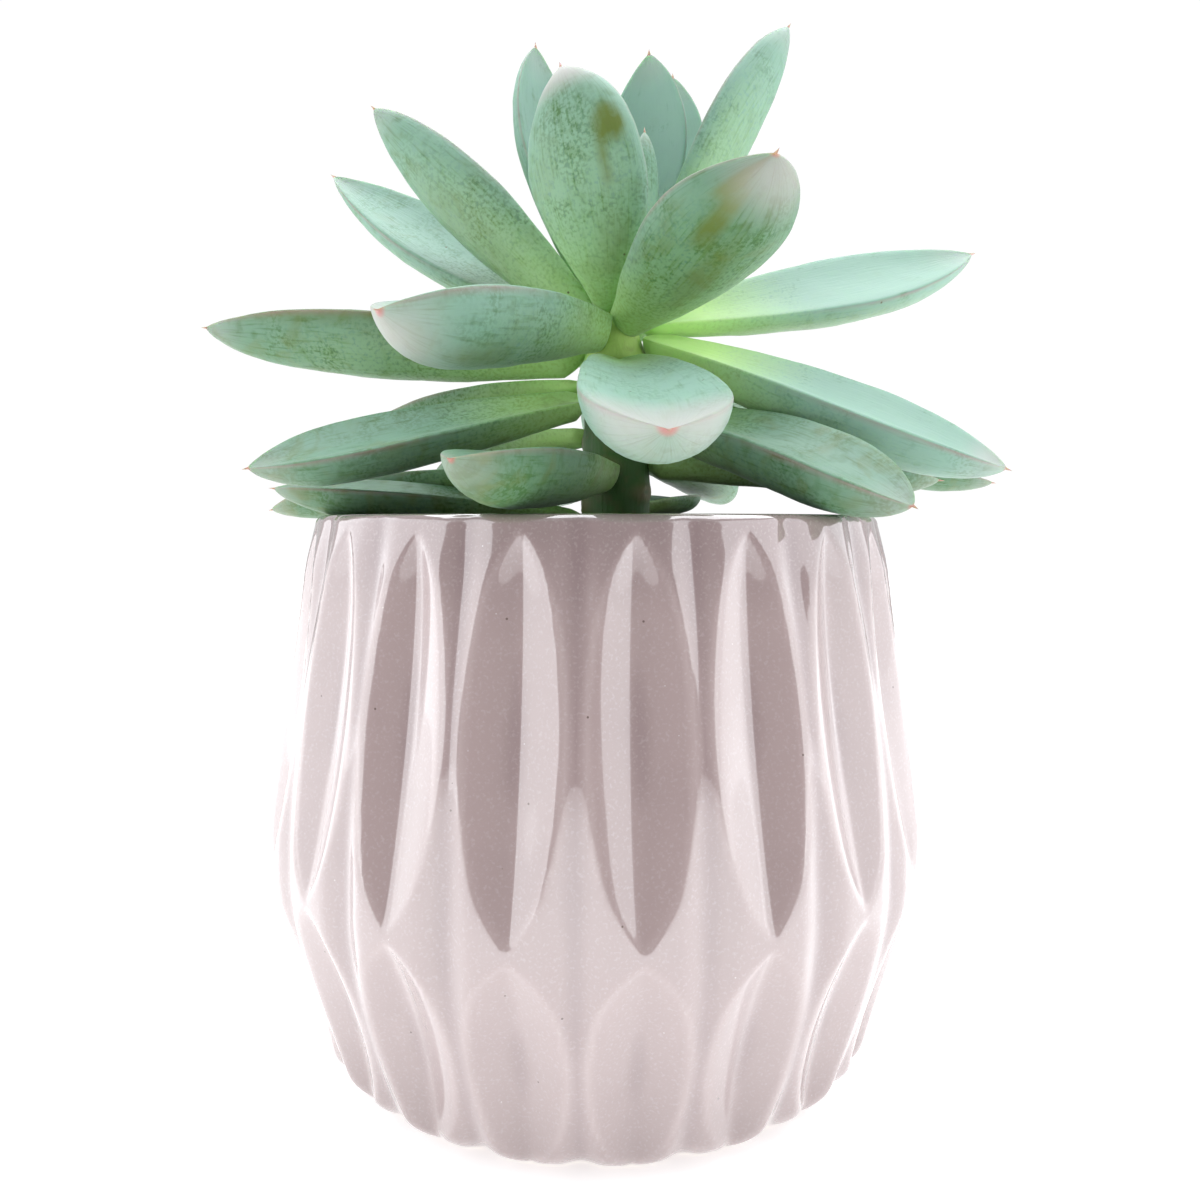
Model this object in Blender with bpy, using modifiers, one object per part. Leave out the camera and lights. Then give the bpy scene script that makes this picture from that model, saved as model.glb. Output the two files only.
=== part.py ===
"""Potted succulent: a fluted ceramic pot, its soil, one bare stem and a loose rosette of leaves.

Units are metres and +Z is up. The origin is the centre of the pot's flat foot, so the pot
stands on the plane z = 0. The plant's best side faces -Y.
"""

import math
from typing import NamedTuple

import bmesh
import bpy
from mathutils import Vector

MM = 0.001
GAP = 0.3 * MM                    # air between two pieces that touch in life

# Pot
LOBES = 20                        # vertical flutes round the pot
STEPS_PER_LOBE = 6
FIRST_LOBE = math.radians(-101.6)  # direction of one flute's middle
POT_HEIGHT = 66 * MM
WALL_HEIGHTS = (64.8, 62, 56, 50, 44, 36, 30, 26, 21, 15, 8, 3.2, 1.2, 0.3)   # mm
INSIDE_HEIGHTS = (11 * MM, 26 * MM, 45 * MM)
BELLY_RADIUS = 40.6 * MM          # widest, at the belt between the two tiers of cuts
BELLY_HEIGHT = 26 * MM
RIM_RADIUS = 34.4 * MM
WALL_FOOT_RADIUS = 33.3 * MM      # where the wall would meet the ground without its rounding
FOOT_RADIUS = 29.6 * MM           # flat face the pot stands on
FOOT_ROUNDING = 3.5 * MM
WALL = 4.6 * MM
INNER_CLEARANCE = 1.5 * MM        # extra wall behind the cuts
FLOOR = 6 * MM
FLOOR_INSET = 9 * MM              # how much narrower the inside floor is than the outer wall
RIM_ROUNDING = 1.2 * MM
GROOVE_DEPTH = 1.0 * MM           # the valley between two flutes
GROOVE_START = 0.45               # of half a flute, where the valley begins to fall away
RIM_FADE = 8 * MM                 # height below the rim over which the valleys flatten
CUT_DEPTH = 3.2 * MM              # the pointed lens cut down the middle of a flute
CUT_HALF_WIDTH = 1.12             # of half a flute, before the valley trims it
UPPER_CUT = (26.0 * MM, 64.6 * MM)
LOWER_CUT = (0.6 * MM, 25.4 * MM)
FLUTED_SKIN = 2.5 * MM            # how far inside the fullest outline the fluting reaches

# Soil
SOIL_EDGE = 57 * MM               # height of the soil at the wall
SOIL_CROWN = 59 * MM              # height of the soil at the middle
SOIL_STEPS = 40
SOIL_CLEARANCE = 0.4 * MM         # soil to the pot's inside
STEM_POCKET_DEPTH = 14 * MM

# Stem
STEM_X = 2.5 * MM                 # the stem stands a little off the pot's middle
STEM_RADIUS = 4.3 * MM
STEM_NECK_RADIUS = 2.2 * MM       # below the youngest leaves
STEM_TOP = 88.5 * MM

# Leaves
LEAF_RINGS = 9
LEAF_SIDES = 10
KEEL = 0.85                       # share of a leaf's thickness below its middle
MARGIN_ROUNDING = 0.30            # share of the thickness that rounds the two margins
CHANNEL = 0.42                    # share of the thickness that hollows the upper face
BLUNT_BASE = 0.04                 # first share of the length, where the leaf closes on its scar


class Leaf(NamedTuple):
    """One leaf. Lengths are in millimetres and angles in degrees."""

    name: str
    scar_height: float            # where it leaves the stem
    scar_radius: float            # from the stem's middle line
    tip: tuple                    # the tip's place
    sag: float                    # how far the middle hangs below a straight line to the tip
    swing: float                  # how far the middle is pushed sideways, anticlockwise from above
    width: float
    thickness: float
    roll: float = 0.0             # turn about its own length
    widest: float = 0.60          # where along its length it is widest
    neck: float = 0.35            # width where it leaves the stem, as a share of the full width


LEAVES = (
    # youngest, in the heart of the rosette
    Leaf("leaf_heart_1", 95.2, 0.9, (2.2, -3.2, 101.3), 0.2, 0.0, 2.2, 1.4, widest=0.55, neck=0.4),
    Leaf("leaf_heart_2", 94.4, 0.9, (2.8, 2.6, 106.0), 0.4, 0.0, 4.6, 1.8, widest=0.55, neck=0.4),
    Leaf("leaf_heart_3", 94.0, 1.3, (-1.8, -1.2, 110.5), 0.5, 0.0, 6.0, 2.0, widest=0.55, neck=0.35),
    Leaf("leaf_heart_4", 93.6, 1.4, (5.9, -1.8, 112.8), 0.8, 0.0, 6.2, 2.2, widest=0.55, neck=0.35),
    # upright leaves
    Leaf("leaf_upright_front", 92.4, 1.9, (-4.0, -10.0, 116.7), 3.0, 2.3, 15.5, 5.0, widest=0.55,
         neck=0.16),
    Leaf("leaf_upright_left", 93.2, 1.9, (-8.0, 8.0, 127.5), 2.0, 0.0, 12.5, 4.0, neck=0.28),
    Leaf("leaf_upright_back", 93.4, 2.2, (6.9, 8.0, 126.6), 1.2, -0.3, 12.0, 3.6, neck=0.28),
    Leaf("leaf_upright_far", 91.6, 3.2, (10.9, 20.0, 129.0), 3.0, -0.5, 12.0, 4.0, neck=0.28),
    Leaf("leaf_upright_right", 92.2, 3.4, (24.8, 6.0, 129.0), -1.0, 0.0, 12.0, 4.5, neck=0.22, roll=-35),
    Leaf("leaf_front_right", 90.3, 2.2, (17.7, -26.0, 101.3), 0.5, 0.6, 17.0, 6.0, widest=0.62,
         neck=0.22),
    # spreading leaves
    Leaf("leaf_far_right", 90.8, 3.2, (52.5, 14.0, 102.6), 0.8, 0.0, 14.5, 5.5, roll=35, neck=0.3),
    Leaf("leaf_rising_left", 90.8, 3.1, (-28.5, 4.0, 118.0), 0.0, -0.3, 12.5, 5.5, roll=30,
         widest=0.5, neck=0.3),
    Leaf("leaf_rising_left_back", 89.4, 3.4, (-38.2, 20.0, 115.2), 0.2, 0.0, 12.0, 5.5, roll=-35,
         widest=0.5, neck=0.3),
    Leaf("leaf_level_left", 86.5, 5.0, (-51.0, 4.0, 90.5), -1.0, 0.0, 11.0, 7.8, roll=5, widest=0.5),
    Leaf("leaf_front_left", 89.6, 3.6, (-20.5, -31.0, 85.2), -1.0, 0.0, 12.5, 8.6, neck=0.42,
         widest=0.68),
    Leaf("leaf_long_right", 87.9, 4.6, (47.0, -13.0, 71.3), -1.0, 0.0, 13.0, 7.0, roll=22),
    Leaf("leaf_front_drooping", 85.0, 5.0, (5.9, -46.0, 73.6), -0.5, 0.0, 13.6, 7.0, widest=0.78,
         neck=0.32),
    # oldest leaves, which lean on the rim
    Leaf("leaf_rim_right_front", 78.0, 5.2, (31.4, -28.2, 66.8), -2.3, 0.0, 12.0, 7.2, roll=15,
         neck=0.45),
    Leaf("leaf_rim_left_front", 80.5, 5.0, (-39.5, -14.0, 71.3), -0.5, 0.0, 11.0, 6.0, roll=-25,
         widest=0.65, neck=0.4),
    Leaf("leaf_rim_left", 66.0, 5.2, (-40.0, -4.0, 69.4), -1.5, 0.0, 10.0, 5.0, roll=-10, neck=0.4),
    Leaf("leaf_rim_left_back", 71.0, 5.2, (-46.8, 15.0, 67.0), -2.0, 0.0, 10.0, 5.0, neck=0.4),
    Leaf("leaf_rim_front", 71.5, 5.0, (-12.3, -41.0, 70.6), -0.5, 0.0, 9.5, 6.6, neck=0.45),
    Leaf("leaf_low_back_left", 83.0, 5.0, (-36.0, 28.0, 78.0), -2.0, 0.0, 10.0, 5.0, neck=0.4),
    Leaf("leaf_low_back", 77.0, 5.0, (-26.0, 34.0, 71.0), -2.0, 0.0, 10.0, 4.5, neck=0.4),
    Leaf("leaf_rim_right", 72.5, 5.0, (42.5, -4.0, 70.4), -1.0, 0.0, 9.0, 4.5, neck=0.4),
    Leaf("leaf_rim_right_back", 83.0, 5.0, (54.0, 8.0, 70.6), 1.0, 0.0, 10.0, 4.5, roll=10, neck=0.4),
    # leaves on the far side
    Leaf("leaf_back_high", 90.2, 3.4, (17.0, 42.0, 108.0), 1.0, 0.0, 12.0, 5.0, neck=0.3),
    Leaf("leaf_back_left", 87.6, 4.9, (-14.0, 44.0, 101.0), 0.5, 0.0, 12.0, 5.5, neck=0.35),
    Leaf("leaf_back_right", 85.6, 5.0, (30.0, 37.0, 84.0), -1.0, 0.0, 12.0, 5.5, neck=0.35),
    Leaf("leaf_back_drooping", 81.0, 5.0, (4.0, 47.0, 76.0), -3.0, 0.0, 12.0, 5.5, neck=0.4),
    Leaf("leaf_rim_back_right", 74.0, 5.2, (22.0, 38.0, 69.0), -2.0, 0.0, 10.0, 4.5, neck=0.4),
    Leaf("leaf_rim_back", 70.5, 5.2, (-8.0, 42.0, 68.5), -2.5, 0.0, 9.5, 4.0, neck=0.4),
    Leaf("leaf_rim_inner_right", 67.5, 5.2, (14.0, 21.0, 68.5), -0.5, 0.0, 8.0, 3.0, neck=0.4),
)


def smooth_step(x):
    """0 below 0, 1 above 1, and a smooth ramp between."""
    x = min(1.0, max(0.0, x))
    return x * x * (3 - 2 * x)


def wall_radius(z):
    """Radius of the pot's fullest outline at height z, before grooves and cuts."""
    if z > BELLY_HEIGHT:
        share = (z - BELLY_HEIGHT) / (POT_HEIGHT - BELLY_HEIGHT)
        return BELLY_RADIUS - (BELLY_RADIUS - RIM_RADIUS) * share ** 1.8
    share = (BELLY_HEIGHT - z) / BELLY_HEIGHT
    radius = BELLY_RADIUS - (BELLY_RADIUS - WALL_FOOT_RADIUS) * share ** 1.6
    if z < FOOT_ROUNDING:
        lift = 1 - z / FOOT_ROUNDING
        radius -= (WALL_FOOT_RADIUS - FOOT_RADIUS) * (1 - math.sqrt(1 - lift * lift))
    return radius


def cut_depth(z, across, cut):
    """Depth of a lens cut at height z; across is 0 in a flute's middle and 1 in the groove."""
    low, high = cut
    if not low < z < high:
        return 0.0
    share = 2 * (z - low) / (high - low) - 1
    bow = 1 - share * share
    half_width = CUT_HALF_WIDTH * bow ** 0.8
    if across >= half_width:
        return 0.0
    return CUT_DEPTH * bow ** 0.75 * (1 - across / half_width)


def flute_depth(angle, z):
    """How far the outer wall lies inside its fullest outline at this direction and height."""
    turn = (angle - FIRST_LOBE) / (2 * math.pi) * LOBES
    across = abs(2 * (turn - round(turn)))
    fade = 0.45 + 0.55 * smooth_step((POT_HEIGHT - z) / RIM_FADE)
    groove = GROOVE_DEPTH * fade * smooth_step((across - GROOVE_START) / (1 - GROOVE_START))
    return max(groove, cut_depth(z, across, UPPER_CUT), cut_depth(z, across, LOWER_CUT))


def pot_profile():
    """The pot's turned outline, from the inner floor's middle over the rim to the foot's middle."""
    inner = [(0.0, FLOOR), (wall_radius(FLOOR) - FLOOR_INSET, FLOOR)]
    inner += [(wall_radius(z) - WALL - INNER_CLEARANCE, z) for z in INSIDE_HEIGHTS]
    inner += [(RIM_RADIUS - WALL + RIM_ROUNDING / 2, POT_HEIGHT - RIM_ROUNDING)]
    rim = [(RIM_RADIUS - WALL + RIM_ROUNDING, POT_HEIGHT), (RIM_RADIUS - RIM_ROUNDING, POT_HEIGHT)]
    wall = [(wall_radius(z * MM), z * MM) for z in WALL_HEIGHTS]
    return inner + rim + wall + [(FOOT_RADIUS, 0.0), (0.0, 0.0)]


def soil_profile():
    """The soil's turned outline, from the crown's middle to the middle of its base."""
    inset = WALL + INNER_CLEARANCE + SOIL_CLEARANCE + GAP
    edge = wall_radius(SOIL_EDGE) - inset
    low = FLOOR + GAP
    top = [(0.0, SOIL_CROWN), (edge / 2, (3 * SOIL_CROWN + SOIL_EDGE) / 4), (edge, SOIL_EDGE)]
    side = [(wall_radius(z) - inset, z) for z in reversed(INSIDE_HEIGHTS)]
    return top + side + [(wall_radius(FLOOR) - FLOOR_INSET - 2 * SOIL_CLEARANCE - GAP, low), (0.0, low)]


def plain_material(name, color, roughness):
    """A Principled material of one colour."""
    material = bpy.data.materials.new(name)
    material.use_nodes = True
    shader = material.node_tree.nodes["Principled BSDF"]
    shader.inputs["Base Color"].default_value = (*color, 1.0)
    shader.inputs["Roughness"].default_value = roughness
    shader.inputs["Metallic"].default_value = 0.0
    return material


def add_object(name, mesh, material, collection, parent=None):
    """Put a mesh in the collection as a smooth-shaded object."""
    mesh.name = name
    mesh.materials.clear()
    mesh.materials.append(material)
    mesh.shade_smooth()
    obj = bpy.data.objects.new(name, mesh)
    obj.parent = parent
    collection.objects.link(obj)
    return obj


def applied_mesh(obj):
    """The object's mesh with its modifiers or its curve's bevel made real, and the object removed."""
    bpy.context.view_layer.update()
    evaluated = obj.evaluated_get(bpy.context.evaluated_depsgraph_get())
    mesh = bpy.data.meshes.new_from_object(evaluated)
    bpy.data.objects.remove(obj)
    return mesh


def turned_mesh(profile, steps, collection):
    """The closed mesh of a profile turned once round the Z axis with a Screw modifier."""
    mesh = bpy.data.meshes.new("profile")
    points = [(radius, 0.0, z) for radius, z in profile]
    mesh.from_pydata(points, [(i, i + 1) for i in range(len(points) - 1)], [])
    obj = bpy.data.objects.new("profile", mesh)
    collection.objects.link(obj)
    screw = obj.modifiers.new("Screw", "SCREW")
    screw.steps = steps
    screw.render_steps = steps
    screw.use_merge_vertices = True
    screw.merge_threshold = 0.00001
    return applied_mesh(obj)


def build_pot(collection, parent):
    """The pot: a turned shell whose outer wall is pressed in by grooves and lens cuts."""
    mesh = turned_mesh(pot_profile(), LOBES * STEPS_PER_LOBE, collection)
    for vertex in mesh.vertices:
        radius = math.hypot(vertex.co.x, vertex.co.y)
        height = vertex.co.z
        angle = math.atan2(vertex.co.y, vertex.co.x) + FIRST_LOBE
        if radius > wall_radius(height) - FLUTED_SKIN and radius > FOOT_RADIUS - GAP:
            radius -= flute_depth(angle, height)
        vertex.co = Vector((radius * math.cos(angle), radius * math.sin(angle), height))
    glaze = plain_material("mauve_glaze", (0.62, 0.48, 0.47), 0.12)
    add_object("pot", mesh, glaze, collection, parent)


def build_soil(collection, cutters, parent):
    """The soil, with a pocket for the buried end of the stem."""
    mesh = turned_mesh(soil_profile(), SOIL_STEPS, collection)
    earth = plain_material("potting_soil", (0.05, 0.032, 0.02), 0.95)
    soil = add_object("soil", mesh, earth, collection, parent)
    bpy.ops.mesh.primitive_cylinder_add(
        vertices=24,
        radius=STEM_RADIUS + GAP,
        depth=2 * STEM_POCKET_DEPTH,
        location=(STEM_X, 0, SOIL_CROWN),
    )
    cutter = bpy.context.object
    cutter.name = "stem_pocket_cutter"
    for holder in cutter.users_collection:
        holder.objects.unlink(cutter)
    cutters.objects.link(cutter)
    cutter.hide_render = True
    cutter.display_type = "WIRE"
    pocket = soil.modifiers.new("Stem pocket", "BOOLEAN")
    pocket.operation = "DIFFERENCE"
    pocket.object = cutter


def build_stem(collection, parent):
    """The stem: a bare, slightly tapered rod from its pocket in the soil to the rosette."""
    foot = SOIL_CROWN - STEM_POCKET_DEPTH + 2 * GAP
    stations = (
        (foot, 0.0, 0.85),
        (SOIL_CROWN, 0.0, 0.97),
        (70 * MM, -0.2 * MM, 1.0),
        (80 * MM, 0.0, 0.95),
        (STEM_TOP - 3 * MM, 0.1 * MM, 0.8),
        (STEM_TOP, 0.1 * MM, STEM_NECK_RADIUS / STEM_RADIUS),
    )
    curve = bpy.data.curves.new("stem", "CURVE")
    curve.dimensions = "3D"
    curve.bevel_depth = STEM_RADIUS
    curve.bevel_resolution = 3
    curve.use_fill_caps = True
    spline = curve.splines.new("POLY")
    spline.points.add(len(stations) - 1)
    for point, (height, lean, thickness) in zip(spline.points, stations):
        point.co = (STEM_X + lean, 0.0, height, 1.0)
        point.radius = thickness
    rod = bpy.data.objects.new("rod", curve)
    collection.objects.link(rod)
    mesh = applied_mesh(rod)
    shape = bmesh.new()
    shape.from_mesh(mesh)
    bmesh.ops.remove_doubles(shape, verts=shape.verts, dist=0.01 * MM)
    shape.to_mesh(mesh)
    shape.free()
    add_object("stem", mesh, plain_material("stem_skin", (0.20, 0.33, 0.09), 0.5), collection, parent)


def leaf_outline(leaf, share):
    """Half width and thickness of a leaf, as shares of the full ones, at a share of its length."""
    if share < leaf.widest:
        inward = (leaf.widest - share) / leaf.widest
        closing = min(1.0, share / BLUNT_BASE) ** 0.5
        width = leaf.neck + (1 - leaf.neck) * (1 - inward ** 1.6)
        thickness = 0.6 + 0.4 * (1 - inward ** 2)
        return width * closing, thickness * closing
    outward = min(1.0, (share - leaf.widest) / (1 - leaf.widest))
    return (1 - outward ** 2.2) ** 0.75, (1 - outward ** 2.6) ** 0.7


def leaf_point(leaf, x, y, z):
    """Where a point of the unit sphere lies on the leaf; the sphere's axis is the leaf's length."""
    tip = Vector(leaf.tip) * MM
    scar = Vector((STEM_X, 0.0, leaf.scar_height * MM))
    outward = Vector((tip.x - scar.x, tip.y - scar.y, 0.0)).normalized()
    side = Vector((-outward.y, outward.x, 0.0))
    start = scar + outward * (leaf.scar_radius * MM)
    chord = tip - start
    upward = chord.normalized().cross(side)
    middle = start + chord / 2 - upward * (2 * leaf.sag * MM) + side * (2 * leaf.swing * MM)
    share = min(1.0, max(0.0, (1 + z) / 2))
    place = start * (1 - share) ** 2 + middle * (2 * share * (1 - share)) + tip * share ** 2
    along = ((middle - start) * (1 - share) + (tip - middle) * share).normalized()
    across = (side - along * side.dot(along)).normalized()
    above = along.cross(across)
    roll = math.radians(leaf.roll)
    across, above = (
        across * math.cos(roll) + above * math.sin(roll),
        above * math.cos(roll) - across * math.sin(roll),
    )
    width, thickness = leaf_outline(leaf, share)
    ring = math.hypot(x, y)
    if ring < 1e-6:
        return place
    cosine, sine = x / ring, y / ring
    depth = leaf.thickness * MM * thickness
    if sine >= 0:
        height = MARGIN_ROUNDING * sine - CHANNEL * sine * sine
    else:
        height = KEEL * sine
    return place + across * (leaf.width / 2 * MM * width * cosine) + above * (depth * (height + 0.1))


def build_leaf(leaf, material, collection, parent):
    """One fleshy leaf, made by laying a sphere's surface along the leaf's curve."""
    shape = bmesh.new()
    bmesh.ops.create_uvsphere(shape, u_segments=LEAF_SIDES, v_segments=LEAF_RINGS, radius=1.0)
    for vertex in shape.verts:
        vertex.co = leaf_point(leaf, *vertex.co)
    mesh = bpy.data.meshes.new(leaf.name)
    shape.to_mesh(mesh)
    shape.free()
    add_object(leaf.name, mesh, material, collection, parent)


def main():
    """Clear the scene and build every piece."""
    for obj in list(bpy.data.objects):
        bpy.data.objects.remove(obj)
    collection = bpy.data.collections.new("potted_succulent")
    cutters = bpy.data.collections.new("cutters")
    bpy.context.scene.collection.children.link(collection)
    bpy.context.scene.collection.children.link(cutters)
    root = bpy.data.objects.new("potted_succulent_root", None)
    collection.objects.link(root)
    build_pot(collection, root)
    build_soil(collection, cutters, root)
    build_stem(collection, root)
    leaf_skin = plain_material("leaf_skin", (0.25, 0.42, 0.29), 0.45)
    for leaf in LEAVES:
        build_leaf(leaf, leaf_skin, collection, root)


main()
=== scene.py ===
"""Looks of a potted succulent: a glazed fluted pot, potting soil, a bare stem and fleshy leaves.

Lengths are metres, except in a leaf's own row, which is in millimetres. +Z is up, the pot
stands on z = 0 and the plant's best side faces -Y.
"""

import logging
import math
from dataclasses import dataclass, field
from enum import Enum
from typing import Callable, Iterable, NamedTuple, Sequence

import bmesh
import bpy
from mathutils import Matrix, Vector, noise


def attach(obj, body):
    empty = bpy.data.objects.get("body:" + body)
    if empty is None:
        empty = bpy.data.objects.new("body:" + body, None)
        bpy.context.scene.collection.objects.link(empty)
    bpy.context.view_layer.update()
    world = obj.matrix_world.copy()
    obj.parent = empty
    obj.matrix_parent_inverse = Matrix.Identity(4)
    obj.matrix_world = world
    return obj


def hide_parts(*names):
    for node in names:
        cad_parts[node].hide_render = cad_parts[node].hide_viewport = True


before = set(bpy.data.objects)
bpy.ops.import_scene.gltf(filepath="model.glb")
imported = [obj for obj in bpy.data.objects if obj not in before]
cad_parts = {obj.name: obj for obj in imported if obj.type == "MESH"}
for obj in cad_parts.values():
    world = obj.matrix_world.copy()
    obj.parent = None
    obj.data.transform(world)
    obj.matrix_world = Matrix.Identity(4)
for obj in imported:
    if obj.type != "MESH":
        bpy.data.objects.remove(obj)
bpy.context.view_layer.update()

MM = 0.001
BODY = "root"
LOG = logging.getLogger("potted_succulent")

Triple = tuple[float, float, float]
Color = Triple

STEM_X = 2.5 * MM                 # the stem stands a little to the right of the pot's middle
SOIL_HEIGHT = 59 * MM


# ---------------------------------------------------------------- node helpers


class Quantity:
    """A number flowing through a node tree, joined to others with Python's own signs."""

    def __init__(self, tree: bpy.types.NodeTree, socket: bpy.types.NodeSocket) -> None:
        """Hold one output socket of a tree."""
        self.tree = tree
        self.socket = socket

    def join(self, operation: str, *others: "Quantity | float") -> "Quantity":
        """Add a Math node that takes this number first.

        Args:
            operation: Name of the Math node's operation.
            others: The node's further inputs.

        Returns:
            The node's result.
        """
        node = self.tree.nodes.new("ShaderNodeMath")
        node.operation = operation
        for place, value in enumerate((self, *others)):
            plug(self.tree, node.inputs[place], value)
        return Quantity(self.tree, node.outputs[0])

    def __add__(self, other: "Quantity | float") -> "Quantity":
        """This plus the other."""
        return self.join("ADD", other)

    def __sub__(self, other: "Quantity | float") -> "Quantity":
        """This minus the other."""
        return self.join("SUBTRACT", other)

    def __rsub__(self, other: float) -> "Quantity":
        """The other minus this."""
        return self.join("MULTIPLY", -1.0) + other

    def __mul__(self, other: "Quantity | float") -> "Quantity":
        """This times the other."""
        return self.join("MULTIPLY", other)

    def __truediv__(self, other: "Quantity | float") -> "Quantity":
        """This divided by the other."""
        return self.join("DIVIDE", other)

    def __pow__(self, other: float) -> "Quantity":
        """This to a power."""
        return self.join("POWER", other)

    __radd__ = __add__
    __rmul__ = __mul__

    def at_least(self, floor: float) -> "Quantity":
        """The larger of this and a floor."""
        return self.join("MAXIMUM", floor)

    def at_most(self, ceiling: float) -> "Quantity":
        """The smaller of this and a ceiling."""
        return self.join("MINIMUM", ceiling)

    def rise(self, start: float, end: float) -> "Quantity":
        """A smooth ramp.

        Args:
            start: Where the ramp is 0.
            end: Where the ramp is 1, above or below the start.

        Returns:
            The ramp at this number.
        """
        node = self.tree.nodes.new("ShaderNodeMapRange")
        node.interpolation_type = "SMOOTHSTEP"
        plug(self.tree, node.inputs["Value"], self)
        low, high = min(start, end), max(start, end)
        node.inputs["From Min"].default_value = low
        node.inputs["From Max"].default_value = high
        node.inputs["To Min"].default_value = 0.0 if start < end else 1.0
        node.inputs["To Max"].default_value = 1.0 if start < end else 0.0
        return Quantity(self.tree, node.outputs[0])


def plug(tree: bpy.types.NodeTree, entry: bpy.types.NodeSocket, value: object) -> None:
    """Feed a socket from another one, or set it to a plain value.

    Args:
        tree: The tree that holds the socket.
        entry: The input socket.
        value: A Quantity, an output socket, or a number, colour or other plain value.
    """
    if isinstance(value, Quantity):
        value = value.socket
    if isinstance(value, bpy.types.NodeSocket):
        tree.links.new(value, entry)
    elif isinstance(value, tuple) and len(value) == 3 and entry.type == "RGBA":
        entry.default_value = (*value, 1.0)
    else:
        entry.default_value = value


class Brush:
    """A new Principled material, with short calls for the nodes that the finishes use."""

    def __init__(self, name: str) -> None:
        """Open a material.

        Args:
            name: The material's name.
        """
        self.material = bpy.data.materials.new(name)
        self.material.use_nodes = True
        self.tree = self.material.node_tree
        self.shader = self.tree.nodes["Principled BSDF"]
        self.place = self.tree.nodes.new("ShaderNodeTexCoord").outputs["Object"]

    def set(self, **values: object) -> None:
        """Set or feed the shader's sockets; an underscore in a name stands for a space."""
        for name, value in values.items():
            plug(self.tree, self.shader.inputs[name.replace("_", " ")], value)

    def attribute(self, name: str) -> tuple[Quantity, Quantity, Quantity]:
        """Read a mesh's vector attribute.

        Args:
            name: The attribute's name.

        Returns:
            Its three numbers.
        """
        source = self.tree.nodes.new("ShaderNodeAttribute")
        source.attribute_name = name
        parts = self.tree.nodes.new("ShaderNodeSeparateXYZ")
        self.tree.links.new(source.outputs["Vector"], parts.inputs[0])
        x, y, z = (Quantity(self.tree, output) for output in parts.outputs)
        return x, y, z

    def height(self) -> Quantity:
        """Read the height above the ground.

        Returns:
            The height in metres.
        """
        parts = self.tree.nodes.new("ShaderNodeSeparateXYZ")
        self.tree.links.new(self.place, parts.inputs[0])
        return Quantity(self.tree, parts.outputs["Z"])

    def stretched(self, vector: bpy.types.NodeSocket, scale: Triple) -> bpy.types.NodeSocket:
        """Scale a place differently along each axis.

        Args:
            vector: The place.
            scale: The three factors.

        Returns:
            The scaled place.
        """
        node = self.tree.nodes.new("ShaderNodeMapping")
        self.tree.links.new(vector, node.inputs["Vector"])
        node.inputs["Scale"].default_value = scale
        return node.outputs[0]

    def skin_map(self) -> bpy.types.NodeSocket:
        """Read the piece's own UV map.

        Returns:
            The place on the map.
        """
        node = self.tree.nodes.new("ShaderNodeUVMap")
        node.uv_map = "skin"
        return node.outputs[0]

    def grain(
        self,
        size: float,
        detail: float = 2.0,
        vector: bpy.types.NodeSocket | None = None,
        distortion: float = 0.0,
    ) -> Quantity:
        """Noise about 0.5 with lumps of one size.

        Args:
            size: Width of a lump, in the units of the vector.
            detail: How many finer octaves are added.
            vector: Where it is read; the object's own place where none is given.
            distortion: How far the lumps are swirled.

        Returns:
            The noise, mostly between 0.25 and 0.75.
        """
        node = self.tree.nodes.new("ShaderNodeTexNoise")
        self.tree.links.new(vector or self.place, node.inputs["Vector"])
        node.inputs["Scale"].default_value = 1.0 / size
        node.inputs["Detail"].default_value = detail
        node.inputs["Distortion"].default_value = distortion
        return Quantity(self.tree, node.outputs["Fac"])

    def specks(self, spacing: float, radius: float, kept: float) -> Quantity:
        """Round specks, 1 inside a speck and 0 outside.

        Args:
            spacing: Mean distance between the cells that may hold one.
            radius: A speck's radius, as a share of the spacing.
            kept: Share of the cells that hold one.

        Returns:
            The mask.
        """
        cells = self.tree.nodes.new("ShaderNodeTexVoronoi")
        self.tree.links.new(self.place, cells.inputs["Vector"])
        cells.inputs["Scale"].default_value = 1.0 / spacing
        parts = self.tree.nodes.new("ShaderNodeSeparateColor")
        self.tree.links.new(cells.outputs["Color"], parts.inputs[0])
        near = Quantity(self.tree, cells.outputs["Distance"]).rise(radius, 0.6 * radius)
        chance = Quantity(self.tree, parts.outputs["Red"]).rise(1.0 - kept, 1.001 - kept)
        return near * chance

    def blend(self, share: Quantity | float, under: object, over: object) -> bpy.types.NodeSocket:
        """Lay one colour over another.

        Args:
            share: How much of the upper one shows, held between 0 and 1.
            under: The lower colour, or a socket that gives it.
            over: The upper colour, or a socket that gives it.

        Returns:
            The mixed colour.
        """
        node = self.tree.nodes.new("ShaderNodeMix")
        node.data_type = "RGBA"
        node.clamp_factor = True
        plug(self.tree, node.inputs["Factor"], share)
        plug(self.tree, node.inputs["A"], under)
        plug(self.tree, node.inputs["B"], over)
        return next(output for output in node.outputs if output.type == "RGBA")

    def relief(self, height: Quantity, depth: float, strength: float = 1.0) -> None:
        """Raise the surface by a height map.

        Args:
            height: The map, 0 low and 1 high.
            depth: Height of a full step, in metres.
            strength: Share of the relief that shows.
        """
        node = self.tree.nodes.new("ShaderNodeBump")
        node.inputs["Strength"].default_value = strength
        node.inputs["Distance"].default_value = depth
        plug(self.tree, node.inputs["Height"], height)
        self.tree.links.new(node.outputs[0], self.shader.inputs["Normal"])


# ---------------------------------------------------------------- finishes


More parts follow.
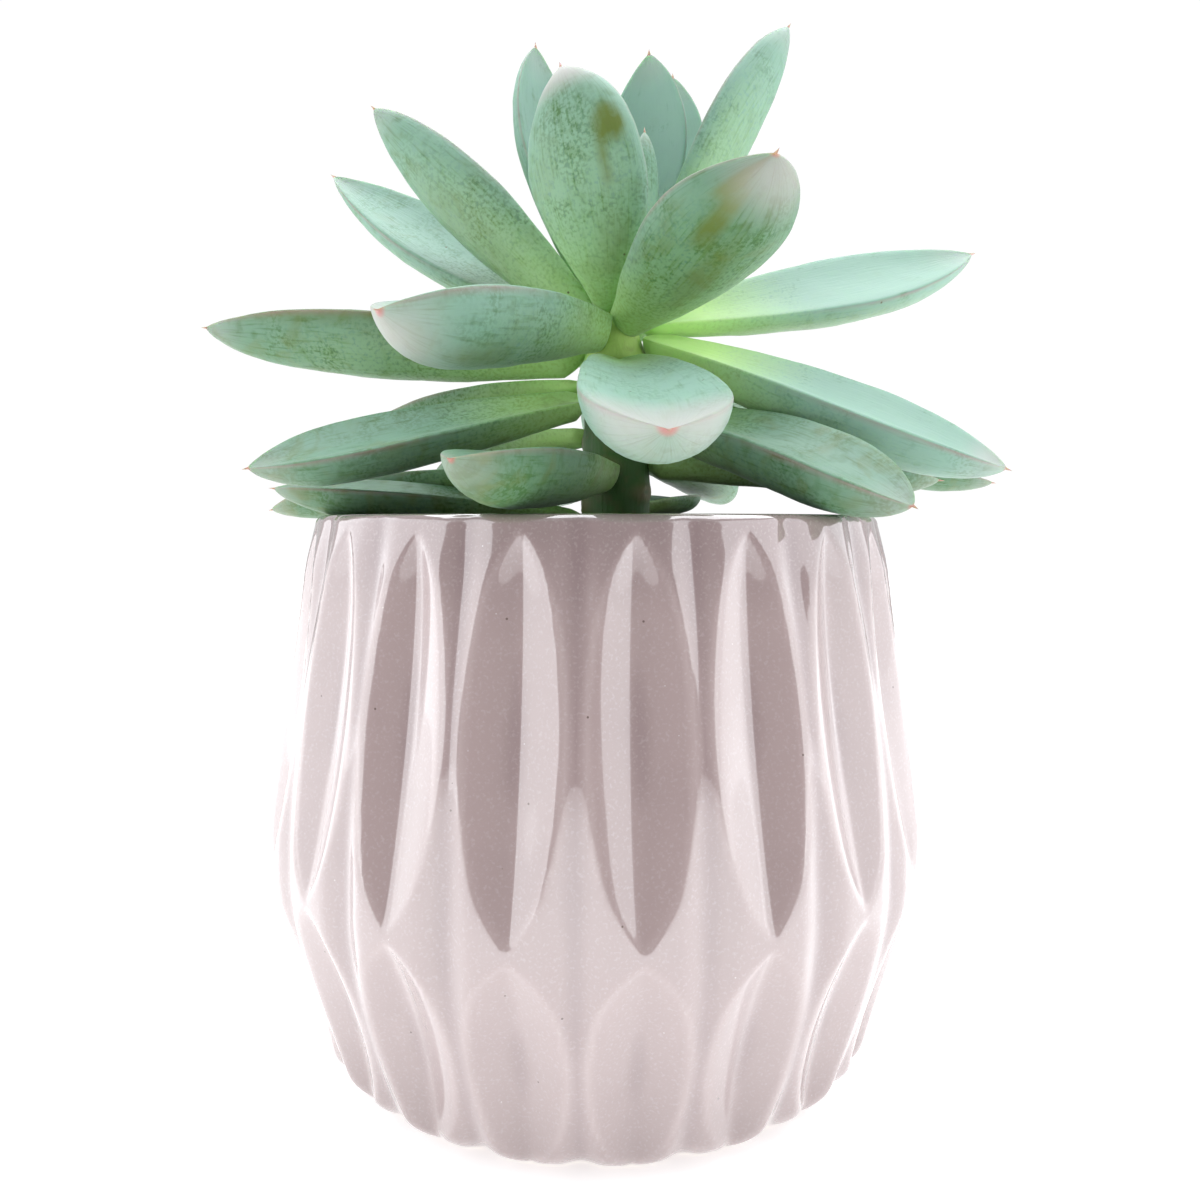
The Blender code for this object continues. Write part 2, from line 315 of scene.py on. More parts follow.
@dataclass(frozen=True)
class MauveGlaze:
    """Glossy dusty-pink glaze over pale clay, deeper where it has run into the hollows, with painted shade
    darkening the band below the rim.
    """

    even: Color = (0.385, 0.293, 0.288)
    # colour of glaze pooled in the creases and grooves, also used as painted shade in the band below the
    # rim
    pooled_and_shade_color: Color = (0.22, 0.15, 0.155)
    thin: Color = (0.56, 0.46, 0.45)
    clay: Color = (0.70, 0.60, 0.52)
    iron_speck: Color = (0.10, 0.06, 0.05)
    tin_speck: Color = (0.85, 0.80, 0.78)
    pooling_and_shade: float = 0.7              # how far full pooling and painted shade go towards the pooled and shaded colour
    cloudiness: float = 0.5
    edge_thinning: float = 0.35
    dusting: float = 0.10             # strength of the finest pale dust
    tin_strength: float = 0.45
    iron_strength: float = 0.8
    cloud_size: float = 9 * MM
    dust_size: float = 0.3 * MM
    tin_spacing: float = 1.3 * MM
    iron_spacing: float = 2.6 * MM
    glazed_from: float = 0.45 * MM    # the foot is bare clay up to this height
    clay_roughness: float = 0.62
    glaze_roughness: float = 0.07
    roughness_grain: float = 1.2 * MM
    swell_size: float = 6 * MM
    peel_size: float = 1.4 * MM
    swell_depth: float = 0.10 * MM
    ior: float = 1.6
    coat_ior: float = 1.85
    coat_roughness: float = 0.025

    def material(self) -> bpy.types.Material:
        """Build the glaze, with an unglazed foot.

        Returns:
            The material, which reads the attribute glaze_run.
        """
        brush = Brush("mauve_glaze")
        pooled_and_shaded, edge, _ = brush.attribute("glaze_run")
        cloud = brush.grain(self.cloud_size, 3.0)
        dust = brush.grain(self.dust_size, 1.0).rise(0.5, 0.8)
        tin = brush.specks(self.tin_spacing, 0.07, 0.12)
        iron = brush.specks(self.iron_spacing, 0.055, 0.35)
        # pooled glaze in the creases and grooves, and painted shade in the band below the rim, darken the
        # glaze here
        depth = pooled_and_shaded * self.pooling_and_shade + (cloud - 0.5) * self.cloudiness
        color = brush.blend(depth, self.even, self.pooled_and_shade_color)
        color = brush.blend(edge * self.edge_thinning, color, self.thin)
        color = brush.blend(dust * self.dusting, color, self.tin_speck)
        color = brush.blend(tin * self.tin_strength, color, self.tin_speck)
        color = brush.blend(iron * self.iron_strength, color, self.iron_speck)
        glazed = brush.height().rise(0.5 * self.glazed_from, self.glazed_from)
        color = brush.blend(glazed, self.clay, color)
        polish = glazed * (self.clay_roughness - self.glaze_roughness)
        rough = self.clay_roughness - polish + (brush.grain(self.roughness_grain) - 0.5) * 0.03
        brush.set(Base_Color=color, Roughness=rough, IOR=self.ior)
        brush.set(Coat_Weight=1.0, Coat_Roughness=self.coat_roughness, Coat_IOR=self.coat_ior)
        swell = brush.grain(self.swell_size, 1.0) * 0.8 + brush.grain(self.peel_size, 1.0) * 0.06
        brush.relief(swell, self.swell_depth, 0.6)
        return brush.material


@dataclass(frozen=True)
class LeafBloom:
    """Blue-green leaf skin under a waxy bloom that is rubbed away in places."""

    frost: Color = (0.235, 0.405, 0.325)
    flesh: Color = (0.058, 0.150, 0.045)
    lime: Color = (0.46, 0.72, 0.24)
    olive: Color = (0.125, 0.175, 0.040)
    plum: Color = (0.36, 0.17, 0.20)
    blush: Color = (0.47, 0.43, 0.42)
    prick: Color = (0.52, 0.15, 0.15)
    scar: Color = (0.10, 0.085, 0.04)
    sheen: Color = (0.80, 1.0, 0.93)
    cloud_size: float = 7 * MM
    patch_size: float = 5 * MM
    scar_spacing: float = 3.4 * MM
    dapple_size: float = 1.7 * MM
    pepper_size: float = 0.42 * MM
    streak_scale: Triple = (3.2, 0.22, 1.0)   # streaks run along the leaf
    upper_bloom: float = 0.20         # bloom gained on the upper face and lost on the keel
    worn_away: float = 0.62           # bloom lost where the leaf is worn and peppered
    streaked_away: float = 0.30
    dappled_away: float = 0.22
    margin: float = 0.65              # strength of the plum line along the margin
    tip_blush: float = 0.30
    tip_prick: float = 0.7
    scar_strength: float = 0.85
    waxy_roughness: float = 0.55
    ior: float = 1.42
    flesh_depth: float = 1.6 * MM     # how far light runs inside the leaf
    relief_depth: float = 0.09 * MM

    def material(self) -> bpy.types.Material:
        """Build the skin.

        Returns:
            The material, which reads where each point lies on its leaf, the leaf's tone and
            its marks from the attributes leaf_place, leaf_tone and leaf_marks.
        """
        brush = Brush("leaf_bloom")
        across, face, along = brush.attribute("leaf_place")
        frosted, olive_amount, lime_amount = brush.attribute("leaf_tone")
        rubbed, blushed, _ = brush.attribute("leaf_marks")
        streaks = brush.grain(1.0, 4.0, brush.stretched(brush.skin_map(), self.streak_scale))
        cloud = brush.grain(self.cloud_size, 3.0, distortion=0.6)
        pepper = brush.grain(self.pepper_size, 3.0)
        dapple = brush.grain(self.dapple_size, 3.0)
        # bloom over flesh
        wear = cloud.rise(0.42, 0.68) * 0.5 + along.rise(0.55, 0.1) * 0.5
        bloom = frosted + face * self.upper_bloom - wear * pepper.rise(0.42, 0.60) * self.worn_away
        bloom = bloom - streaks.rise(0.5, 0.72) * self.streaked_away
        bloom = bloom - dapple.rise(0.50, 0.72) * self.dappled_away
        color = brush.blend(bloom, self.flesh, self.frost)
        # lime where the leaf leaves the stem, and on its belly
        belly = face.rise(0.1, -0.7) * along.rise(0.95, 0.35) * 0.22
        base = (along.rise(0.50, 0.0) * (0.75 + face * 0.2) + belly) * lime_amount
        color = brush.blend(base - pepper.rise(0.5, 0.7) * 0.15, color, self.lime)
        # olive patches and rubbed places
        blotch = brush.grain(self.patch_size, 3.0, distortion=1.0).rise(0.52, 0.68)
        patch = (rubbed + olive_amount * blotch * 0.6) * (0.35 + 1.1 * dapple)
        color = brush.blend(patch, color, self.olive)
        # plum margin, pink tip and small scars
        edge = across.join("ABSOLUTE").rise(0.975, 0.996) * along.rise(0.3, 0.7)
        edge = edge * face.rise(-0.12, 0.05) * (0.15 + cloud * 0.9)
        color = brush.blend(edge * self.margin, color, self.plum)
        color = brush.blend(along.rise(0.84, 0.99) * self.tip_blush + blushed, color, self.blush)
        color = brush.blend(along.rise(0.992, 0.999) * self.tip_prick, color, self.prick)
        scars = brush.specks(self.scar_spacing, 0.055, 0.22)
        color = brush.blend(scars * self.scar_strength, color, self.scar)
        rough = self.waxy_roughness - patch.at_most(1.0) * 0.16 - bloom.at_most(1.0) * 0.04
        brush.set(Base_Color=color, Roughness=rough, IOR=self.ior)
        brush.set(Sheen_Weight=0.12, Sheen_Roughness=0.35, Sheen_Tint=self.sheen)
        brush.set(Subsurface_Weight=0.22, Subsurface_Radius=(0.45, 1.0, 0.25))
        brush.set(Subsurface_Scale=self.flesh_depth)
        brush.relief(streaks * 0.7 + dapple * 0.35 + pepper * 0.12, self.relief_depth, 0.8)
        return brush.material


@dataclass(frozen=True)
class StemSkin:
    """Green stem skin, lime under the crown and woody brown at the soil."""

    crown: Color = (0.42, 0.62, 0.17)
    middle: Color = (0.05, 0.14, 0.028)
    wood: Color = (0.16, 0.11, 0.055)
    scar: Color = (0.22, 0.19, 0.09)
    crown_height: float = 88 * MM
    shoulder_height: float = 79 * MM
    bark_height: float = 66 * MM      # the bark fades out here
    wood_height: float = 61 * MM      # and is full below here
    mottle_size: float = 1.5 * MM
    rib_size: float = 0.5 * MM
    relief_depth: float = 0.18 * MM
    flesh_depth: float = 1.2 * MM

    def material(self) -> bpy.types.Material:
        """Build the stem's skin.

        Returns:
            The material, which reads the attribute leaf_scar.
        """
        brush = Brush("stem_skin")
        height = brush.height()
        scarred, _, _ = brush.attribute("leaf_scar")
        mottle = brush.grain(self.mottle_size, 3.0)
        ribs = brush.grain(self.rib_size, 2.0, brush.stretched(brush.place, (1.0, 1.0, 0.15)))
        lime = height.rise(self.shoulder_height, self.crown_height)
        color = brush.blend(lime, self.middle, self.crown)
        bark = height.rise(self.bark_height, self.wood_height)
        color = brush.blend(bark * 0.8 + (mottle - 0.5) * 0.8 * bark, color, self.wood)
        color = brush.blend(scarred * 0.75, color, self.scar)
        color = brush.blend(mottle.rise(0.5, 0.7) * 0.25, color, self.wood)
        brush.set(Base_Color=color, Roughness=0.5 + mottle * 0.15, Subsurface_Weight=0.12)
        brush.set(Subsurface_Radius=(0.5, 1.0, 0.25), Subsurface_Scale=self.flesh_depth)
        brush.relief(ribs * 0.8 + mottle * 0.5, self.relief_depth, 0.9)
        return brush.material


@dataclass(frozen=True)
class PottingMix:
    """A crumbly finish: dark potting soil where nothing else is said."""

    name: str = "potting_mix"
    dark: Color = (0.018, 0.012, 0.008)
    light: Color = (0.085, 0.052, 0.030)
    lump: float = 1.6 * MM
    roughness: float = 0.93
    relief_depth: float = 0.5 * MM

    def material(self) -> bpy.types.Material:
        """Build the soil's finish.

        Returns:
            The material.
        """
        brush = Brush(self.name)
        clod = brush.grain(self.lump, 4.0)
        grit = brush.grain(0.3 * self.lump, 2.0)
        color = brush.blend(clod.rise(0.38, 0.66), self.dark, self.light)
        color = brush.blend(grit.rise(0.6, 0.75) * 0.5, color, self.light)
        brush.set(Base_Color=color, Roughness=self.roughness)
        brush.relief(clod + grit * 0.5, self.relief_depth)
        return brush.material


@dataclass(frozen=True)
class StudioFloor:
    """Plain white floor that glows a little, as a lit sweep does."""

    color: Color = (0.86, 0.86, 0.86)
    glow: float = 0.55

    def material(self) -> bpy.types.Material:
        """Build the floor's finish.

        Returns:
            The material.
        """
        brush = Brush("studio_floor")
        brush.set(Base_Color=self.color, Roughness=0.9, Specular_IOR_Level=0.1)
        brush.set(Emission_Color=(1.0, 1.0, 1.0), Emission_Strength=self.glow)
        return brush.material


# ---------------------------------------------------------------- mesh helpers


def smooth_step(x: float) -> float:
    """0 below 0, 1 above 1, and a smooth ramp between."""
    x = min(1.0, max(0.0, x))
    return x * x * (3 - 2 * x)


def new_piece(name: str, mesh: bpy.types.Mesh, material: bpy.types.Material) -> bpy.types.Object:
    """Make a smooth-shaded object of one material, standing at the origin.

    Args:
        name: The object's name, and its mesh's.
        mesh: Its mesh.
        material: Its only material.

    Returns:
        The object, linked to the scene.
    """
    mesh.name = name
    mesh.materials.clear()
    mesh.materials.append(material)
    mesh.shade_smooth()
    piece = bpy.data.objects.new(name, mesh)
    bpy.context.scene.collection.objects.link(piece)
    return piece


def lofted_mesh(name: str, rings: Sequence[Sequence[Vector]], start: Vector, end: Vector) -> bpy.types.Mesh:
    """A closed skin through rings of equally many points, with one point closing each end.

    Args:
        name: The mesh's name.
        rings: The rings in order, each turning anticlockwise as seen from the end.
        start: The point that closes the first ring.
        end: The point that closes the last ring.

    Returns:
        The mesh, whose first vertex is the start and whose last is the end.
    """
    sides = len(rings[0])
    points = [start, *(point for ring in rings for point in ring), end]
    last = len(points) - 1
    faces: list[tuple[int, ...]] = []
    for side in range(sides):
        after = (side + 1) % sides
        faces.append((0, 1 + after, 1 + side))
        for ring in range(len(rings) - 1):
            low = 1 + ring * sides
            high = low + sides
            faces.append((low + side, low + after, high + after, high + side))
        top = last - sides
        faces.append((top + side, top + after, last))
    mesh = bpy.data.meshes.new(name)
    mesh.from_pydata(points, [], faces)
    return mesh


def write_vectors(mesh: bpy.types.Mesh, name: str, values: Iterable[Sequence[float]]) -> None:
    """Store one vector a vertex as a named attribute.

    Args:
        mesh: The mesh that gets it.
        name: The attribute's name.
        values: One vector for each vertex, in order.
    """
    layer = mesh.attributes.new(name, "FLOAT_VECTOR", "POINT")
    layer.data.foreach_set("vector", [number for value in values for number in value])


def hand_over(piece: bpy.types.Object, slot: str, *nodes: str) -> None:
    """Ride a finished piece on the body and report it.

    Args:
        piece: The piece.
        slot: What its finish is called; not used.
        nodes: The solids that it stands for; none for a piece that is only added.
    """
    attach(piece, BODY)
    if nodes:
        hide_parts(*nodes)
    LOG.info("%s: %d faces", piece.name, len(piece.data.polygons))


class NodeRecipe:
    """A Geometry Nodes tree that is built in code, run once on a mesh and then taken off."""

    def __init__(self, name: str, sizes: dict[str, float]) -> None:
        """Open a tree with a geometry input and one named number input for each size.

        Args:
            name: The tree's name.
            sizes: The value of each size by its input's name.
        """
        self.tree = bpy.data.node_groups.new(name, "GeometryNodeTree")
        self.sizes = sizes
        face = self.tree.interface
        face.new_socket("Geometry", in_out="INPUT", socket_type="NodeSocketGeometry")
        self.identifiers = {
            label: face.new_socket(label, in_out="INPUT", socket_type="NodeSocketFloat").identifier
            for label in sizes
        }
        face.new_socket("Geometry", in_out="OUTPUT", socket_type="NodeSocketGeometry")
        self.entry = self.add("NodeGroupInput")
        self.exit = self.add("NodeGroupOutput")

    def add(self, kind: str, **inputs: object) -> bpy.types.Node:
        """Add a node.

        Args:
            kind: The node's type.
            inputs: What feeds its inputs; an underscore in a name stands for a space.

        Returns:
            The node.
        """
        node = self.tree.nodes.new(kind)
        for label, value in inputs.items():
            plug(self.tree, node.inputs[label.replace("_", " ")], value)
        return node

    def size(self, label: str) -> Quantity:
        """One of the tree's named sizes."""
        return Quantity(self.tree, self.entry.outputs[label])

    def number(self, socket: bpy.types.NodeSocket) -> Quantity:
        """A socket's value as a Quantity of this tree."""
        return Quantity(self.tree, socket)

    def close(self, geometry: bpy.types.NodeSocket, material: bpy.types.Material) -> None:
        """End the tree in Realize Instances and Set Material.

        Args:
            geometry: What the tree has made.
            material: What it is made of.
        """
        real = self.add("GeometryNodeRealizeInstances", Geometry=geometry)
        dressed = self.add("GeometryNodeSetMaterial", Geometry=real.outputs[0], Material=material)
        self.tree.links.new(dressed.outputs[0], self.exit.inputs[0])

    def run(self, mesh: bpy.types.Mesh) -> bpy.types.Mesh:
        """Run the tree on a mesh.

        Args:
            mesh: What the tree's geometry input gets.

        Returns:
            The result as a plain mesh.
        """
        holder = bpy.data.objects.new("recipe_holder", mesh)
        bpy.context.scene.collection.objects.link(holder)
        modifier = holder.modifiers.new(self.tree.name, "NODES")
        modifier.node_group = self.tree
        for label, identifier in self.identifiers.items():
            modifier[identifier] = float(self.sizes[label])
        bpy.context.view_layer.update()
        evaluated = holder.evaluated_get(bpy.context.evaluated_depsgraph_get())
        made = bpy.data.meshes.new_from_object(evaluated)
        bpy.data.objects.remove(holder)
        return made


# ---------------------------------------------------------------- pot


@dataclass
class FlutedPot:
    """The pot: a rounded shell with flutes, and two tiers of lens cuts down them."""

    flutes: int = 20
    steps_per_flute: int = 24
    first_flute: float = math.radians(-101.6)
    height: float = 66 * MM
    belly_radius: float = 40.6 * MM
    belly_height: float = 26 * MM
    rim_radius: float = 34.4 * MM
    wall_foot_radius: float = 33.3 * MM
    foot_radius: float = 29.6 * MM
    foot_rounding: float = 3.5 * MM
    foot_dish: float = 0.35 * MM      # how far the foot's middle stands off the ground
    shoulder_curve: float = 1.8
    waist_curve: float = 1.6
    wall: float = 4.6 * MM
    cavity_inset: float = 1.5 * MM    # the cavity keeps this much further in, behind the cuts
    cavity_bend: float = 9 * MM
    rim_rounding: float = 1.2 * MM
    floor: float = 6 * MM
    groove_depth: float = 1.0 * MM
    groove_start: float = 0.45        # from a flute's middle (0) to its groove (1)
    groove_fade: float = 8 * MM       # the grooves are shallower this near the rim
    groove_at_rim: float = 0.45
    cut_depth: float = 3.2 * MM
    cut_half_width: float = 1.12
    upper_cut: tuple[float, float] = (26.0 * MM, 64.6 * MM)
    lower_cut: tuple[float, float] = (0.6 * MM, 25.4 * MM)
    crease: float = 0.13
    bow_width: float = 0.8            # powers that make a cut's ends pointed and shallow
    bow_depth: float = 0.75
    arris: float = 0.34 * MM
    # painted shade: heights of the band below the rim that is darkened as if shaded by the overhanging
    # leaves
    rim_shade: tuple[float, float] = (55 * MM, 65 * MM)
    ring_spacing: float = 0.50 * MM
    glaze: MauveGlaze = field(default_factory=MauveGlaze)

    def wall_radius(self, z: float) -> float:
        """Radius of the fullest outline, before grooves and cuts.

        Args:
            z: Height.

        Returns:
            The radius there.
        """
        if z > self.belly_height:
            share = (z - self.belly_height) / (self.height - self.belly_height)
            return self.belly_radius - (self.belly_radius - self.rim_radius) * share**self.shoulder_curve
        share = (self.belly_height - z) / self.belly_height
        radius = self.belly_radius - (self.belly_radius - self.wall_foot_radius) * share**self.waist_curve
        if z < self.foot_rounding:
            lift = 1 - z / self.foot_rounding
            radius -= (self.wall_foot_radius - self.foot_radius) * (1 - math.sqrt(1 - lift * lift))
        return radius

    def outline(self) -> list[Triple]:
        """Lay out the turned outline: foot, wall, rim and inside, in that order.

        Returns:
            Radius, height and how much of the fluting each point takes.
        """
        foot = [(share * self.foot_radius, self.foot_dish, 0.0) for share in (0.3, 0.6, 0.8)]
        foot_ring = ((3.0, 0.3, 0.0), (2.2, 0.0, 0.0), (1.0, 0.0, 0.0), (0.2, 0.0, 0.6))
        foot += [(self.foot_radius - inward * MM, z * MM, share) for inward, z, share in foot_ring]
        bend = [0.05 * MM, 0.15 * MM, 0.3 * MM]
        top = self.height - self.rim_rounding
        count = round(top / self.ring_spacing)
        first = 0.5 * MM
        heights = bend + [first + (top - first) * i / count for i in range(count + 1)]
        wall = [(self.wall_radius(z), z, 1.0) for z in heights]
        middle = self.wall_radius(top) - self.rim_rounding
        turn = [math.radians(a) for a in range(15, 91, 15)]
        outside = [math.cos(a) ** 0.5 for a in turn[:-1]] + [0.0]
        rim = [(middle + self.rim_rounding * math.cos(a), top + self.rim_rounding * math.sin(a), share)
               for a, share in zip(turn, outside)]
        inner = self.rim_radius - self.wall + self.rim_rounding
        rim += [(inner, self.height, 0.0)]
        rim += [(inner - self.rim_rounding * math.sin(a), top + self.rim_rounding * math.cos(a), 0.0)
                for a in turn]
        depth = [self.height - z * MM for z in (3, 5, 8, 12, 18, 26, 36, 46, 54, 58)]
        mouth = inner - self.rim_rounding
        inside = [(min(self.wall_radius(z) - self.wall - self.cavity_inset, mouth), z, 0.0)
                  for z in depth]
        inside += [(self.wall_radius(self.floor) - self.cavity_bend, self.floor, 0.0)]
        inside += [(self.cavity_bend, self.floor, 0.0)]
        return foot + wall + rim + inside

    def turned_shell(self) -> bpy.types.Mesh:
        """Turn the outline round the axis.

        Returns:
            The plain shell, with the share of fluting kept on each point.
        """
        outline = self.outline()
        steps = self.flutes * self.steps_per_flute
        angles = [self.first_flute + 2 * math.pi * i / steps for i in range(steps)]
        rings = [[Vector((r * math.cos(a), r * math.sin(a), z)) for a in angles] for r, z, _ in outline]
        mesh = lofted_mesh("pot_shell", rings, Vector((0, 0, self.foot_dish)), Vector((0, 0, self.floor)))
        shares = [0.0] + [share for _, _, share in outline for _ in range(steps)] + [0.0]
        layer = mesh.attributes.new("fluting", "FLOAT", "POINT")
        layer.data.foreach_set("value", shares)
        return mesh

    def fluting(self) -> NodeRecipe:
        """Plan the pressing of the grooves and the lens cuts.

        Returns:
            The tree, which takes the turned shell.
        """
        recipe = NodeRecipe("press_flutes", {
            "Flutes": self.flutes,
            "First flute": self.first_flute,
            "Pot height": self.height,
            "Groove depth": self.groove_depth,
            "Cut depth": self.cut_depth,
            "Cut half width": self.cut_half_width,
        })
        place = recipe.add("GeometryNodeInputPosition").outputs[0]
        parts = recipe.add("ShaderNodeSeparateXYZ", Vector=place)
        x, y, z = (recipe.number(output) for output in parts.outputs)
        turn = (y.join("ARCTAN2", x) - recipe.size("First flute")) * recipe.size("Flutes") / (2 * math.pi)
        across = (turn - turn.join("ROUND")).join("ABSOLUTE") * 2.0
        below_rim = (recipe.size("Pot height") - z).rise(0.0, self.groove_fade)
        fade = below_rim * (1.0 - self.groove_at_rim) + self.groove_at_rim
        groove = across.rise(self.groove_start, 1.0) * fade * recipe.size("Groove depth")
        upper, lower = (self.lens(recipe, across, z, ends) for ends in (self.upper_cut, self.lower_cut))
        cut = upper + lower
        share = recipe.add("GeometryNodeInputNamedAttribute", Name="fluting")
        depth = self.soft_deeper(cut, groove) * recipe.number(share.outputs["Attribute"])
        radius = (x * x + y * y).join("SQRT").at_least(0.1 * MM)
        shrink = 1.0 - depth / radius
        moved = recipe.add("ShaderNodeCombineXYZ", X=x * shrink, Y=y * shrink, Z=z)
        # the first number carries pooled glaze together with the painted shade below the rim, the second
        # the thin arrises
        run = recipe.add("ShaderNodeCombineXYZ",
                         X=self.pooled_and_shaded(cut, across, z), Y=self.arrises(cut, groove), Z=0.0)
        kept = recipe.add("GeometryNodeStoreNamedAttribute",
                          Geometry=recipe.entry.outputs["Geometry"], Name="glaze_run")
        kept.data_type = "FLOAT_VECTOR"
        kept.domain = "POINT"
        vector_entry = next(e for e in kept.inputs if e.name == "Value" and e.type == "VECTOR")
        plug(recipe.tree, vector_entry, run.outputs[0])
        pressed = recipe.add("GeometryNodeSetPosition", Geometry=kept.outputs[0], Position=moved.outputs[0])
        recipe.close(pressed.outputs[0], self.glaze.material())
        return recipe

    def soft_deeper(self, one: Quantity, other: Quantity) -> Quantity:
        """Take the deeper of two depths, rounded where they meet, as glaze rounds an arris.

        Args:
            one: The first depth.
            other: The second depth.

        Returns:
            The depth.
        """
        apart = one - other
        rounding = (apart * apart + self.arris**2).join("SQRT") - self.arris
        return (one + other + rounding) * 0.5

    def lens(
        self, recipe: NodeRecipe, across: Quantity, z: Quantity, ends: tuple[float, float]
    ) -> Quantity:
        """Depth of one tier of lens cuts.

        Args:
            recipe: The tree that holds the sizes.
            across: 0 down a flute's middle and 1 in the groove beside it.
            z: Height.
            ends: The cut's lowest and highest point.

        Returns:
            The depth below the fullest outline, and 0 outside the cut.
        """
        low, high = ends
        share = (z - low) * (2.0 / (high - low)) - 1.0
        bow = (1.0 - share * share).at_least(0.0001)
        half = recipe.size("Cut half width") * bow**self.bow_width
        crease = (across * across + bow * self.crease**2).join("SQRT")
        inside = (1.0 - crease / half).at_least(0.0)
        return inside * bow**self.bow_depth * recipe.size("Cut depth")

    def pooled_and_shaded(self, cut: Quantity, across: Quantity, z: Quantity) -> Quantity:
        """Where glaze has gathered in the creases of the cuts and in the grooves, together with painted
        shade in the band below the rim.

        Args:
            cut: Depth of the cuts.
            across: 0 down a flute's middle and 1 in the groove beside it.
            z: Height.

        Returns:
            How much has gathered, with the painted shade, from 0 to 1.
        """
        creases = cut.rise(0.72 * self.cut_depth, 0.96 * self.cut_depth) * 0.7
        grooves = across.rise(0.72, 1.0) * 0.5
        # painted shade: the band below the rim is darkened, standing for the leaves' shadow and dark
        # reflection
        return (creases + grooves + z.rise(*self.rim_shade) * 0.7).at_most(1.0)

    def arrises(self, cut: Quantity, groove: Quantity) -> Quantity:
        """Where the glaze has run thin: along the edges of the cuts."""
        apart = (cut - groove).join("ABSOLUTE")
        return apart.rise(0.7 * MM, 0.0) * cut.rise(0.0, 0.4 * MM)

    def build(self) -> None:
        """Make the pot and hand it over."""
        mesh = self.fluting().run(self.turned_shell())
        pot = new_piece("fluted_pot", mesh, mesh.materials[0])
        hand_over(pot, "glaze", "pot")


# ---------------------------------------------------------------- soil


